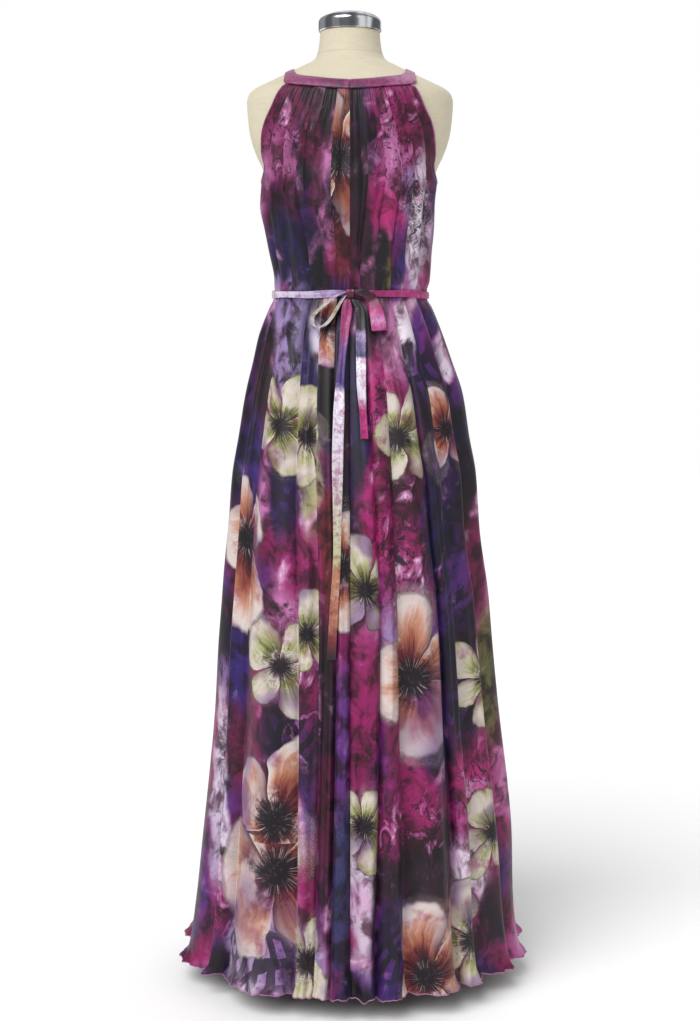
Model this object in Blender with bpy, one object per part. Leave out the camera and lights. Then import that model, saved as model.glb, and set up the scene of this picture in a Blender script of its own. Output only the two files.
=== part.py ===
"""A sleeveless maxi dress with a gathered neck band and a tied belt, on a limbless dress form.

Lengths in the tables are millimetres and angles are degrees. The floor is z = 0, the back of
the dress faces -Y, and an angle is counted from centre back round by +X.
"""

import math

import bmesh
import bpy
import numpy as np
from mathutils import Matrix

MM = 0.001

# Driving sizes
CLOTH_WALL = 1.2
SEAM_GAP = 0.35
CLOTH_EASE = 4.0
UNDERARM = 1212
BAND_WALL = 1.6
BAND_NOTCH = 1.2
BAND_GAP = 1.2
BINDING_RADIUS = 1.1
BELT_LOW = 1041.5
BELT_HIGH = 1051.5
BELT_WALL = 1.6
RIBBON_WALL = 1.0
KNOT_SIZE = (13, 9, 13)
KNOT_HEIGHT = 1046
KNOT_EDGE = 3.2
SHARP_EDGE = 50
POLE_RADIUS = 14
BASE_RADIUS = 150
BASE_THICKNESS = 10
FORM_BOTTOM = 785
TAIL_STEP = 24
TAIL_GAP = 0.6
TAIL_ROOT_OUT = 3.4
TAIL_ROOT_LENGTH = 30

FORM_STEPS = 40
ROUND_STEPS = 28
BAND_STEPS = 64
BELT_STEPS = 60
BACK_STEPS_PER_FOLD = 8
FRONT_STEPS_PER_FOLD = 5
GATHER_STEPS = 4

# The dress form: height, half width, depth behind and in front of the axis, lean to the front
FORM_ROWS = [
    (785, 118, 88, 78, 0),
    (802, 133, 101, 90, 0),
    (880, 136, 106, 93, 0),
    (950, 126, 98, 91, 0),
    (1000, 113, 86, 88, 0),
    (1046, 104, 76, 82, 0),
    (1075, 105, 78, 85, 0),
    (1120, 111, 84, 93, 0),
    (1170, 120, 92, 105, 0),
    (1212, 124, 93, 113, 0),
    (1234, 131, 93, 113, 0),
    (1255, 141, 94, 112, 0),
    (1285, 150, 93, 105, 0),
    (1312, 153, 90, 97, 0),
    (1330, 154, 86.5, 92, 0),
    (1342, 151, 83, 88, 0),
    (1350, 143, 79, 84, 0),
    (1358, 127, 74, 79, 1),
    (1366, 110, 69, 74, 2),
    (1373, 95, 65, 69, 3),
    (1380, 80, 61, 64, 4),
    (1386, 68, 58, 60, 5),
    (1392, 56, 55, 56, 6),
    (1400, 50, 52, 52, 7),
    (1418, 46, 48, 48, 10),
    (1436, 44.5, 45, 45, 12),
]

# The neck cap: height, radius
CAP_ROWS = [
    (1436.3, 45.5),
    (1438, 47),
    (1450, 47),
    (1457, 43),
    (1462, 33),
    (1465, 18),
    (1466, 6),
]

# The dress below the underarm: height, half width to the left and right, depth behind and in front
DRESS_ROWS = [
    (34, 255, 264, 236, 243),
    (50, 243, 254, 234, 240),
    (127, 230, 244, 230, 234),
    (227, 219.5, 239, 225, 228),
    (309, 211, 231, 220, 221),
    (422, 200.5, 218, 211, 209),
    (515, 195, 210, 203, 199),
    (600, 188, 204, 193, 187),
    (703, 180.5, 191.5, 178, 170),
    (774, 176, 189, 166, 157),
    (835, 166.5, 178.5, 152, 142),
    (898, 157, 169, 135, 125),
    (945, 146, 153.5, 121, 114),
    (986, 137, 139.5, 108, 106),
    (1028, 121, 123, 93, 98),
    (1040, 115.5, 117, 88, 94),
    (1053, 114, 116.5, 87, 93),
    (1066, 114, 120, 88, 95),
    (1113, 122, 123, 94, 103),
    (1142, 127.5, 125.5, 98, 109),
    (1180, 135, 127, 101, 117),
    (1212, 133.5, 131, 101, 121),
]

# Heights of the rings of the panels below the underarm
SKIRT_RINGS = (34, 66, 250, 480, 800, 900, 1015, 1040, 1053, 1150, 1212)

# The armholes: share of the way up to the neck band, panel edge in degrees from centre back on
# the left and right, and from centre front
ARMHOLE_ROWS = [
    (0.00, 90.0, 90.0, 90.0),
    (0.13, 72.0, 70.0, 65.0),
    (0.33, 62.5, 58.5, 55.5),
    (0.57, 54.0, 50.5, 48.5),
    (0.80, 45.5, 42.5, 43.0),
    (1.00, 38.5, 36.7, 39.0),
]

# The folds: where each starts in degrees from the panel's centre line at the waist, halfway down
# and at the hem, its depth at the hem, and how narrow its crest is
BACK_RIGHT_FOLDS = [
    (0, 0, 0, 18, 1.2),
    (7, 13, 8.4, 24, 1.4),
    (18, 20.3, 19.1, 32, 1.0),
    (30, 40.4, 39.3, 22, 1.4),
    (42, 49.7, 50, 28, 1.2),
    (58, 62.6, 68, 28, 1.1),
]
FRONT_FOLDS = [
    (-90, -90, -90, 26, 1.2),
    (-73, -76, -74, 24, 1.3),
    (-58, -58, -61, 30, 1.0),
    (-42, -45, -41, 22, 1.3),
    (-29, -27, -29, 26, 1.2),
    (-15, -17, -14, 18, 1.4),
    (-3, -4, -5, 24, 1.2),
    (11, 9, 12, 28, 1.1),
    (26, 27, 24, 20, 1.4),
    (40, 38, 41, 30, 1.1),
    (55, 58, 55, 22, 1.3),
    (71, 69, 73, 26, 1.2),
]
BACK_LEFT_FOLDS = [
    (-90, -90, -90, 30, 1.1),
    (-66, -66.3, -58.8, 18, 1.4),
    (-50, -55.5, -51.5, 34, 1.0),
    (-31, -23.5, -19.5, 13, 1.4),
    (-20, -13.5, -12.8, 13, 1.4),
    (-10, -5.7, -6.9, 15, 1.3),
]

# Each panel: its centre line, where it starts and ends in degrees from it, its folds
PANELS = {
    "back_right": (0, 0, 90, BACK_RIGHT_FOLDS, BACK_STEPS_PER_FOLD),
    "front": (180, -90, 90, FRONT_FOLDS, FRONT_STEPS_PER_FOLD),
    "back_left": (360, -90, 0, BACK_LEFT_FOLDS, BACK_STEPS_PER_FOLD),
}

# How far the folds and the neck gathers have opened: height, share of fold depth, gather depth
OPENING_ROWS = [
    (34, 1.00, 0.0),
    (250, 0.86, 0.0),
    (480, 0.72, 0.0),
    (800, 0.46, 0.0),
    (1015, 0.20, 0.0),
    (1040, 0.15, 0.0),
    (1053, 0.15, 0.0),
    (1150, 0.22, 0.2),
    (1212, 0.08, 0.5),
    (1260, 0.00, 1.0),
    (1310, 0.00, 1.5),
    (1350, 0.00, 1.7),
]

# The neck band: angle, height and ease of its lower edge, height of its upper edge
BAND_ROWS = [
    (0, 1342.5, 3.8, 1356.5),
    (20, 1345.0, 3.8, 1358.5),
    (39, 1350.5, 3.4, 1363.5),
    (52, 1363.5, 1.4, 1371.0),
    (65, 1371.0, 1.25, 1377.0),
    (90, 1375.0, 1.25, 1381.5),
    (115, 1371.0, 1.25, 1377.0),
    (128, 1362.5, 1.4, 1371.0),
    (141, 1348.0, 3.4, 1361.5),
    (160, 1328.5, 3.8, 1343.0),
    (171, 1320.5, 3.8, 1335.0),
    (180, 1318.5, 3.8, 1333.0),
]
BAND_TOP_EASE = 1.25

# The tails of the belt: distance right of centre back, height, width
LONG_TAIL_ROWS = [
    (-4.0, 1039.1, 8.6),
    (-4.5, 1022, 16),
    (-7.5, 993, 13),
    (-10.5, 963, 11),
    (-14.2, 921, 12),
    (-16.0, 874, 16),
    (-17.8, 808, 16),
    (-18.0, 740, 13),
    (-18.4, 680, 11),
    (-22.0, 611, 12),
    (-27.0, 526, 13),
]
SHORT_TAIL_ROWS = [
    (5.2, 1039.1, 8.6),
    (14.5, 1022, 14),
    (15.6, 993, 15),
    (16.2, 921, 13.5),
    (19.6, 865, 10),
    (21.0, 838, 11),
]

# The loops of the bow: distance right, distance out from the cloth, height, width, and the tilt
# of the width from level; a tilt of None stands the width straight out from the cloth
LEFT_LOOP_ROWS = [
    (-6.9, 5.4, 1048.8, 8, None),
    (-20.0, 7.5, 1043.5, 11, None),
    (-36.0, 8, 1031, 12, None),
    (-49.0, 8, 1019.5, 13, None),
    (-55.0, 8, 1011, 13, None),
    (-54.5, 8, 1002.5, 13, None),
    (-48.0, 8, 997.5, 13, None),
    (-40.0, 8, 999, 13, None),
    (-30.5, 8, 1007, 12, None),
    (-20.5, 7.5, 1022, 11, None),
    (-13.0, 7, 1035.5, 10, None),
    (-7.0, 5.4, 1044.0, 8, None),
]
RIGHT_LOOP_ROWS = [
    (6.8, 7.0, 1048.0, 7, 90),
    (16.0, 10.0, 1048.0, 10, 78),
    (25.0, 11.0, 1044.5, 13, 58),
    (32.0, 11.5, 1037.5, 17, 37),
    (36.5, 11.5, 1027, 20, 20),
    (39.5, 11.0, 1014, 21, 9),
    (41.5, 10.0, 1002, 22, 5),
    (42.3, 8.2, 995, 22, 4),
    (42.5, 6.2, 993, 22, 4),
    (42.3, 4.4, 995.5, 22, 4),
    (41.5, 3.4, 1002.5, 22, 5),
    (39.5, 3.2, 1013, 21, 9),
    (35.5, 3.2, 1025, 18, 24),
    (29.0, 3.4, 1034, 14, 45),
    (20.0, 3.8, 1041.5, 9, 68),
    (6.8, 3.4, 1044.5, 6, 90),
]

MATERIALS = {
    "dress_print": ((0.30, 0.12, 0.30), 0.0, 0.60),
    "binding_pink": ((0.62, 0.36, 0.45), 0.0, 0.60),
    "belt_print": ((0.55, 0.16, 0.34), 0.0, 0.50),
    "form_linen": ((0.60, 0.55, 0.44), 0.0, 0.85),
    "cap_chrome": ((0.80, 0.80, 0.82), 1.0, 0.12),
    "stand_steel": ((0.45, 0.45, 0.46), 1.0, 0.35),
}


def at(rows, place, column):
    """A column of a table at a place on its first column, which rises."""
    return float(np.interp(place, [row[0] for row in rows], [row[column] for row in rows]))


def on_section(angle, half_width, back, front, lean, out):
    """A point of an oval section, moved straight out of it by a distance."""
    turn = math.radians(angle)
    depth = back if math.cos(turn) > 0 else front
    across, along = math.sin(turn), -math.cos(turn)
    normal = np.array([across / half_width, along / depth])
    normal /= np.linalg.norm(normal)
    return np.array([half_width * across, lean + depth * along]) + out * normal


def form_point(angle, height, out=0):
    """A point at a distance straight out from the dress form."""
    sizes = [at(FORM_ROWS, height, column) for column in (1, 2, 3, 4)]
    point = np.append(on_section(angle, *sizes, 0), height)
    if out == 0:
        return point
    normal = np.cross(
        form_point(angle + 1, height) - form_point(angle - 1, height),
        form_point(angle, height + 4) - form_point(angle, height - 4),
    )
    return point + out * normal / np.linalg.norm(normal)


def dress_section(height, to_the_right):
    """Half width, depth behind and depth in front of the dress at a height."""
    side = 2 if to_the_right else 1
    loose = [at(DRESS_ROWS, height, column) for column in (side, 3, 4)]
    if height <= UNDERARM:
        return loose
    fitted = [at(FORM_ROWS, height, column) + CLOTH_EASE for column in (1, 2, 3)]
    share = min(1.0, (height - UNDERARM) / 36)
    return [low + share * (high - low) for low, high in zip(loose, fitted)]


def dress_point(angle, height, out):
    """A point of the dress at a distance out from its smooth section."""
    to_the_right = math.sin(math.radians(angle)) > 0
    width, back, front = dress_section(height, to_the_right)
    return np.append(on_section(angle, width, back, front, 0, out), height)


def fold_levels():
    """For each panel, the level of each fold's crest and of the valley on each side of it."""
    order = [(name, fold[3]) for name, panel in PANELS.items() for fold in panel[3]]
    levels = {name: [] for name in PANELS}
    for index, (name, depth) in enumerate(order):
        before = order[index - 1][1]
        after = order[(index + 1) % len(order)][1]
        valley_before = -0.45 * (before + depth) / 2
        valley_after = -0.45 * (after + depth) / 2
        levels[name].append((0.55 * depth, valley_before, valley_after))
    return levels


def panel_columns(name):
    """Each column of a panel: its edges' mix, its fold level and its gather level."""
    _, start, end, folds, steps = PANELS[name]
    ends = [fold[:3] for fold in folds[1:]] + [(end, end, end)]
    columns = []
    for number, fold in enumerate(folds):
        crest, valley_before, valley_after = fold_levels()[name][number]
        for step in range(steps + (number == len(folds) - 1)):
            share = step / steps
            lines = [low + share * (high - low) for low, high in zip(fold[:3], ends[number])]
            valley = valley_before + share * (valley_after - valley_before)
            swell = math.sin(math.pi * share) ** fold[4] if 0 < share < 1 else 0.0
            gather = 0.5 * math.cos(2 * math.pi * len(columns) / GATHER_STEPS)
            columns.append((lines, valley + (crest - valley) * swell, gather))
    return columns


def fold_angle(lines, height):
    """Where a fold line is at a height, from its place at the waist, halfway and at the hem."""
    waist, middle, hem = lines
    return float(np.interp(height, [100, 580, 1046], [hem, middle, waist]))


def panel_grid(name):
    """The middle surface of a panel as rings of points, from the hem up."""
    centre, start, end, _, _ = PANELS[name]
    columns = panel_columns(name)
    last = len(columns) - 1
    armhole = {"back_left": 1, "back_right": 2, "front": 3}[name]
    grid = []
    for height in SKIRT_RINGS:
        even = min(1.0, max(0.0, (height - 1100) / (UNDERARM - 1100)))
        ring = []
        for number, (lines, fold, gather) in enumerate(columns):
            level = (start + (end - start) * number / last) / 90
            fitted = fitted_angle(level, ARMHOLE_ROWS[1][armhole])
            angle = fold_angle(lines, height) * (1 - even) + fitted * even
            ring.append(cloth_point(centre, angle, height, fold, gather))
        grid.append(trimmed(ring))
    for share, *_ in ARMHOLE_ROWS[1:]:
        ring = []
        for number, (lines, fold, gather) in enumerate(columns):
            level = (start + (end - start) * number / last) / 90
            top_angle = level * ARMHOLE_ROWS[-1][armhole]
            top = at(BAND_ROWS, folded(centre + top_angle), 1) - BAND_GAP
            angle = level * at(ARMHOLE_ROWS, share, armhole)
            height = UNDERARM + share * (top - UNDERARM)
            ring.append(cloth_point(centre, angle, height, fold, gather))
        grid.append(trimmed(ring))
    return np.array(grid)


def fitted_angle(level, armhole_angle):
    """A column's place at the underarm, where all but the outer ones run straight up."""
    reach = np.interp(abs(level), [0, 0.8, 1], [0, 0.8 * armhole_angle, 90])
    return math.copysign(float(reach), level)


def folded(angle):
    """An angle brought to the half turn that the neck band's table covers."""
    angle = angle % 360
    return min(angle, 360 - angle)


def cloth_point(centre, angle, height, fold, gather):
    """A point of a panel with its fold and its neck gather."""
    out = fold * at(OPENING_ROWS, height, 1) + gather * at(OPENING_ROWS, height, 2)
    return dress_point(centre + angle, height, out)


def trimmed(ring):
    """A ring with half a seam gap taken off each end."""
    ring = [np.array(point) for point in ring]
    for edge, inner in ((0, 1), (-1, -2)):
        along = ring[inner] - ring[edge]
        ring[edge] = ring[edge] + along / np.linalg.norm(along[:2]) * SEAM_GAP / 2
    return ring


def surface_normals(grid, around):
    """Outward unit normals of a grid of rings that run with rising angle."""
    if around:
        across = np.roll(grid, -1, axis=1) - np.roll(grid, 1, axis=1)
    else:
        across = np.gradient(grid, axis=1)
    upward = np.gradient(grid, axis=0)
    normals = np.cross(across, upward)
    return normals / np.linalg.norm(normals, axis=2, keepdims=True)


def panel_normals(panels):
    """Normals of the panels, the same on both sides of each seam."""
    normals = {name: surface_normals(grid, False) for name, grid in panels.items()}
    seam = len(SKIRT_RINGS)
    for before, after, rows in (
        ("back_left", "back_right", None),
        ("back_right", "front", seam),
        ("front", "back_left", seam),
    ):
        shared = normals[before][:rows, -1] + normals[after][:rows, 0]
        shared /= np.linalg.norm(shared, axis=1, keepdims=True)
        normals[before][:rows, -1] = shared
        normals[after][:rows, 0] = shared
    return normals


def walled(grid, wall, around=False, normals=None):
    """Points and triangles of a wall of even thickness about a grid."""
    grid = np.asarray(grid, dtype=float)
    rows, columns = grid.shape[:2]
    half = (surface_normals(grid, around) if normals is None else normals) * wall / 2
    points = np.concatenate([(grid + half).reshape(-1, 3), (grid - half).reshape(-1, 3)])
    inner = rows * columns
    faces = []

    def quad(a, b, c, d):
        faces.append((a, b, c))
        faces.append((a, c, d))

    steps = columns if around else columns - 1
    for row in range(rows - 1):
        for column in range(steps):
            a = row * columns + column
            b = row * columns + (column + 1) % columns
            c, d = b + columns, a + columns
            quad(a, b, c, d)
            faces.append((inner + c, inner + b, inner + a))
            faces.append((inner + d, inner + c, inner + a))
    top = (rows - 1) * columns
    for column in range(steps):
        after = (column + 1) % columns
        quad(inner + column, inner + after, after, column)
        quad(top + column, top + after, inner + top + after, inner + top + column)
    if not around:
        for row in range(rows - 1):
            low, high = row * columns, (row + 1) * columns
            quad(low, high, inner + high, inner + low)
            low, high = low + columns - 1, high + columns - 1
            quad(inner + low, inner + high, high, low)
    return points, faces


def stacked(rings):
    """Points and triangles of a solid whose closed rings are stacked upwards."""
    rings = np.asarray(rings, dtype=float)
    rows, columns = rings.shape[:2]
    ends = [rings[0].mean(axis=0), rings[-1].mean(axis=0)]
    points = np.concatenate([rings.reshape(-1, 3), ends])
    low, high = rows * columns, rows * columns + 1
    faces = []
    for row in range(rows - 1):
        for column in range(columns):
            a = row * columns + column
            b = row * columns + (column + 1) % columns
            faces.append((a, b, b + columns))
            faces.append((a, b + columns, a + columns))
    top = (rows - 1) * columns
    for column in range(columns):
        after = (column + 1) % columns
        faces.append((low, after, column))
        faces.append((high, top + column, top + after))
    return points, faces


def tube(path, radius, sides):
    """Points and triangles of a round tube along an open path."""
    path = np.asarray(path, dtype=float)
    along = np.gradient(path, axis=0)
    along /= np.linalg.norm(along, axis=1, keepdims=True)
    side = np.cross(along[0], [0, 0, 1.0])
    rings = []
    for point, direction in zip(path, along):
        side = side - direction * np.dot(side, direction)
        side /= np.linalg.norm(side)
        up = np.cross(direction, side)
        turns = [2 * math.pi * step / sides for step in range(sides)]
        rings.append([point + radius * (math.cos(t) * side + math.sin(t) * up) for t in turns])
    return stacked(rings)


def outer_line(grids, height):
    """The outer side of the back panels at a height, as places across and depths."""
    line = []
    for grid in grids:
        heights = grid[:, 0, 2]
        row = int(np.clip(np.searchsorted(heights, height) - 1, 0, len(heights) - 2))
        share = (height - heights[row]) / (heights[row + 1] - heights[row])
        line.extend(grid[row] + share * (grid[row + 1] - grid[row]))
    line = np.array(line)
    line = line[np.argsort(line[:, 0])]
    return line[:, 0], line[:, 1] - CLOTH_WALL / 2


def rest_depth(grids, middle, width, height):
    """The depth at which a strip of this width would touch the back of the dress or the belt."""
    across, depth = outer_line(grids, height)
    places = np.linspace(middle - width / 2, middle + width / 2, 9)
    touching = np.interp(places, across, depth).min()
    if BELT_LOW - 4 < height < BELT_HIGH + 4:
        touching = min(touching, belt_grid()[0, 0, 1] - BELT_WALL / 2)
    return touching


def belt_grid():
    """The middle surface of the belt, which lies on the crests of the folds."""
    crest = 0.55 * max(fold[3] for panel in PANELS.values() for fold in panel[3])
    out = crest * at(OPENING_ROWS, KNOT_HEIGHT, 1) + (CLOTH_WALL + BELT_WALL) / 2 + SEAM_GAP
    angles = [360 * step / BELT_STEPS for step in range(BELT_STEPS)]
    grid = []
    for height in (BELT_LOW, BELT_HIGH):
        ring = [dress_point(angle, BELT_LOW - 1.5, out) for angle in angles]
        grid.append([(x, y, height) for x, y, _ in ring])
    return np.array(grid)


def band_grid():
    """The middle surface of the neck band, open at centre back."""
    grid = []
    for share in (0.0, 0.5, 1.0):
        ring = []
        gap = SEAM_GAP + share * (BAND_NOTCH - SEAM_GAP)
        first = math.degrees(gap / 2 / 112)
        for angle in np.linspace(first, 360 - first, BAND_STEPS + 1):
            place = folded(angle)
            low, high = at(BAND_ROWS, place, 1), at(BAND_ROWS, place, 3)
            low_ease = at(BAND_ROWS, place, 2)
            ease = low_ease + share * (BAND_TOP_EASE - low_ease)
            ring.append(form_point(angle, low + share * (high - low), ease))
        grid.append(ring)
    return np.array(grid)


def armhole_path(back, back_edge, front, front_edge):
    """The middle of an armhole binding, from the band at the back to the band at the front."""
    first = len(SKIRT_RINGS) - 1
    inner = {0: GATHER_STEPS, -1: -1 - GATHER_STEPS}
    edge, away = [], []
    for row in range(len(back) - 1, first, -1):
        edge.append(back[row, back_edge])
        away.append(back[row, back_edge] - back[row, inner[back_edge]])
    edge.append((back[first, back_edge] + front[first, front_edge]) / 2)
    away.append(np.array([0.0, 0.0, 1.0]))
    for row in range(first + 1, len(front)):
        edge.append(front[row, front_edge])
        away.append(front[row, front_edge] - front[row, inner[front_edge]])
    path = []
    for number, point in enumerate(edge):
        sides = []
        for start, end in ((number - 1, number), (number, number + 1)):
            if start < 0 or end == len(edge):
                continue
            along = (edge[end] - edge[start]) / np.linalg.norm(edge[end] - edge[start])
            side = away[number] - along * np.dot(away[number], along)
            sides.append(side / np.linalg.norm(side))
        mitre = sum(sides) / np.linalg.norm(sum(sides))
        reach = (BINDING_RADIUS + 1.6 * SEAM_GAP) / max(0.6, np.dot(mitre, sides[0]))
        path.append(point + mitre * reach)
    for tip, after in ((0, 1), (-1, -2)):
        along = path[after] - path[tip]
        path[tip] = path[tip] + along / np.linalg.norm(along) * 1.5
    return path


def tail_grid(grids, rows):
    """The middle surface of a hanging tail, which follows the outer side of the skirt."""
    heights = np.linspace(rows[-1][1], rows[0][1], round((rows[0][1] - rows[-1][1]) / TAIL_STEP))
    rising = sorted((row[1], row[0], row[2]) for row in rows)
    grid = []
    for height in heights:
        middle, width = at(rising, height, 1), at(rising, height, 2)
        near = (height - TAIL_STEP / 2, height, min(height + TAIL_STEP / 2, rows[0][1]))
        depth = min(rest_depth(grids, middle, width, level) for level in near)
        root = max(0.0, 1 - (rows[0][1] - height) / TAIL_ROOT_LENGTH)
        depth -= TAIL_GAP + RIBBON_WALL / 2 + TAIL_ROOT_OUT * root
        places = (middle - width / 2, middle, middle + width / 2)
        grid.append([(place, depth, height) for place in places])
    return np.array(grid)


def loop_grid(grids, rows):
    """The middle surface of a loop of the bow."""
    grid = []
    for middle, out, height, width, tilt in rows:
        depth = rest_depth(grids, middle, width, height) - out
        if tilt is None:
            step = np.array([0, -width / 2, 0])
        else:
            step = np.array([math.cos(math.radians(tilt)), 0, math.sin(math.radians(tilt))]) * width / 2
        centre = np.array([middle, depth, height])
        grid.append([centre - step, centre, centre + step])
    return np.array(grid)


def knot(depth):
    """The knot, a block with well rounded edges and its middle at a depth."""
    shape = bmesh.new()
    place = Matrix.Translation((0, depth, KNOT_HEIGHT)) @ Matrix.Diagonal((*KNOT_SIZE, 1))
    bmesh.ops.create_cube(shape, size=1, matrix=place)
    bmesh.ops.bevel(
        shape,
        geom=shape.edges[:],
        offset=KNOT_EDGE,
        segments=3,
        profile=0.5,
        affect="EDGES",
        material=-1,
    )
    return shape


def turned(rows, lean=0):
    """A solid turned about an upright axis from heights and radii."""
    shape = bmesh.new()
    line = [shape.verts.new((0, lean, rows[0][0]))]
    line += [shape.verts.new((radius, lean, height)) for height, radius in rows]
    line.append(shape.verts.new((0, lean, rows[-1][0])))
    edges = [shape.edges.new(pair) for pair in zip(line, line[1:])]
    bmesh.ops.spin(
        shape,
        geom=line + edges,
        cent=(0, lean, 0),
        axis=(0, 0, 1),
        angle=2 * math.pi,
        steps=ROUND_STEPS,
        use_merge=True,
    )
    bmesh.ops.remove_doubles(shape, verts=shape.verts[:], dist=0.01)
    bmesh.ops.recalc_face_normals(shape, faces=shape.faces[:])
    return shape


def make_material(name):
    colour, metallic, roughness = MATERIALS[name]
    material = bpy.data.materials.new(name)
    material.use_nodes = True
    shader = material.node_tree.nodes["Principled BSDF"]
    shader.inputs["Base Color"].default_value = (*colour, 1)
    shader.inputs["Metallic"].default_value = metallic
    shader.inputs["Roughness"].default_value = roughness
    return material


def add_part(name, shape, material):
    """A named object from a shape in millimetres: a bmesh, or points and triangles."""
    mesh = bpy.data.meshes.new(name)
    if isinstance(shape, bmesh.types.BMesh):
        shape.to_mesh(mesh)
        shape.free()
    else:
        points, faces = shape
        mesh.from_pydata([tuple(point) for point in points], [], faces)
    mesh.transform(Matrix.Scale(MM, 4))
    mesh.update()
    mesh.shade_smooth()
    mesh.set_sharp_from_angle(angle=math.radians(SHARP_EDGE))
    part = bpy.data.objects.new(name, mesh)
    part.data.materials.append(material)
    bpy.context.scene.collection.objects.link(part)


for item in list(bpy.data.objects):
    bpy.data.objects.remove(item, do_unlink=True)
bpy.context.scene.unit_settings.scale_length = 1.0
materials = {name: make_material(name) for name in MATERIALS}

# The dress form and its stand
form_angles = [360 * step / FORM_STEPS for step in range(FORM_STEPS)]
form_rings = [[form_point(angle, row[0]) for angle in form_angles] for row in FORM_ROWS]
cap_lean = FORM_ROWS[-1][4]
pole_rows = [(BASE_THICKNESS + SEAM_GAP, POLE_RADIUS), (FORM_BOTTOM - SEAM_GAP, POLE_RADIUS)]
base_rows = [
    (0, BASE_RADIUS - 1),
    (1, BASE_RADIUS),
    (BASE_THICKNESS - 3, BASE_RADIUS),
    (BASE_THICKNESS, BASE_RADIUS - 4),
]
add_part("form_torso", stacked(form_rings), materials["form_linen"])
add_part("neck_cap", turned(CAP_ROWS, cap_lean), materials["cap_chrome"])
add_part("stand_pole", turned(pole_rows), materials["stand_steel"])
add_part("stand_base", turned(base_rows), materials["stand_steel"])

# The dress panels
grids = {name: panel_grid(name) for name in PANELS}
normals = panel_normals(grids)
for name, grid in grids.items():
    add_part(name, walled(grid, CLOTH_WALL, normals=normals[name]), materials["dress_print"])

# The neck band and the armhole bindings
add_part("neck_band", walled(band_grid(), BAND_WALL), materials["binding_pink"])
right_path = armhole_path(grids["back_right"], -1, grids["front"], 0)
left_path = armhole_path(grids["back_left"], 0, grids["front"], -1)
add_part("armhole_binding_right", tube(right_path, BINDING_RADIUS, 8), materials["binding_pink"])
add_part("armhole_binding_left", tube(left_path, BINDING_RADIUS, 8), materials["binding_pink"])

# The belt and its bow
back_grids = (grids["back_left"], grids["back_right"])
belt = belt_grid()
knot_depth = belt[0, 0, 1] - BELT_WALL / 2 - SEAM_GAP - KNOT_SIZE[1] / 2
add_part("belt", walled(belt, BELT_WALL, around=True), materials["belt_print"])
add_part("bow_knot", knot(knot_depth), materials["belt_print"])
for name, rows in (("bow_loop_left", LEFT_LOOP_ROWS), ("bow_loop_right", RIGHT_LOOP_ROWS)):
    add_part(name, walled(loop_grid(back_grids, rows), RIBBON_WALL), materials["belt_print"])
for name, rows in (("bow_tail_long", LONG_TAIL_ROWS), ("bow_tail_short", SHORT_TAIL_ROWS)):
    add_part(name, walled(tail_grid(back_grids, rows), RIBBON_WALL), materials["belt_print"])
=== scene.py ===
import math

import bmesh
import bpy
import numpy as np
from mathutils import Matrix, Vector, noise
from mathutils.bvhtree import BVHTree


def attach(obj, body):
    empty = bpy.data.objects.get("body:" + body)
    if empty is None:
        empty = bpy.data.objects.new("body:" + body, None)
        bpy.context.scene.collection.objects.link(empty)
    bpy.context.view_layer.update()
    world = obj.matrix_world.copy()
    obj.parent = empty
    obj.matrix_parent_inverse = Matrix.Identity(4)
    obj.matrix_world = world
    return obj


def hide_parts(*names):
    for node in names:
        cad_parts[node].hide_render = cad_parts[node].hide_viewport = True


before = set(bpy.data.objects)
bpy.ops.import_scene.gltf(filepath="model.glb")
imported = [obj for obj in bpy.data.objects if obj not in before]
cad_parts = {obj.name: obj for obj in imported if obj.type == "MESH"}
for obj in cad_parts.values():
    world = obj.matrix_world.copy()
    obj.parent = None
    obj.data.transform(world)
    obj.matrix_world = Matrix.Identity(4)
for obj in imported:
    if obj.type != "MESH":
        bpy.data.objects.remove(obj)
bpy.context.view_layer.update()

# The looks of a sleeveless maxi dress, tied at the waist, on a limbless dress form. Lengths in the
# tables are millimetres and angles are degrees. The floor is z = 0, the back of the dress faces
# -Y, and an angle is counted from centre back round by +X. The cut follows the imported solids.

MM = 0.001

# Sizes of the cut
CLOTH_EASE = 4.0
UNDERARM = 1212
SEAM_GAP = 0.35
BAND_LAP = 3.0
BAND_NOTCH = 0.6
BAND_TOP_EASE = 1.25
BELT_LOW = 1041.5
BELT_HIGH = 1051.5
BELT_OUT = -0.5
KNOT_SIZE = (13, 9, 13)
KNOT_HEIGHT = 1046
FORM_BOTTOM = 785
POLE_RADIUS = 14
BASE_RADIUS = 150
BASE_THICKNESS = 10

# Strength of the white surround as it lights the dress, and as it is seen
SURROUND_LIGHT = 0.30
SURROUND_SEEN = 1.0

# Height of the seam round the form's neck, in metres
NECK_SEAM = 1.402

# Walls of the finished cloth
DRESS_CLOTH = 0.5
BAND_CLOTH = 1.4
BELT_CLOTH = 0.8
RIBBON_CLOTH = 0.6
HEM_ROLL = 0.75
HEM_HEIGHT = 34
BINDING_RADIUS = 1.1

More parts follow.
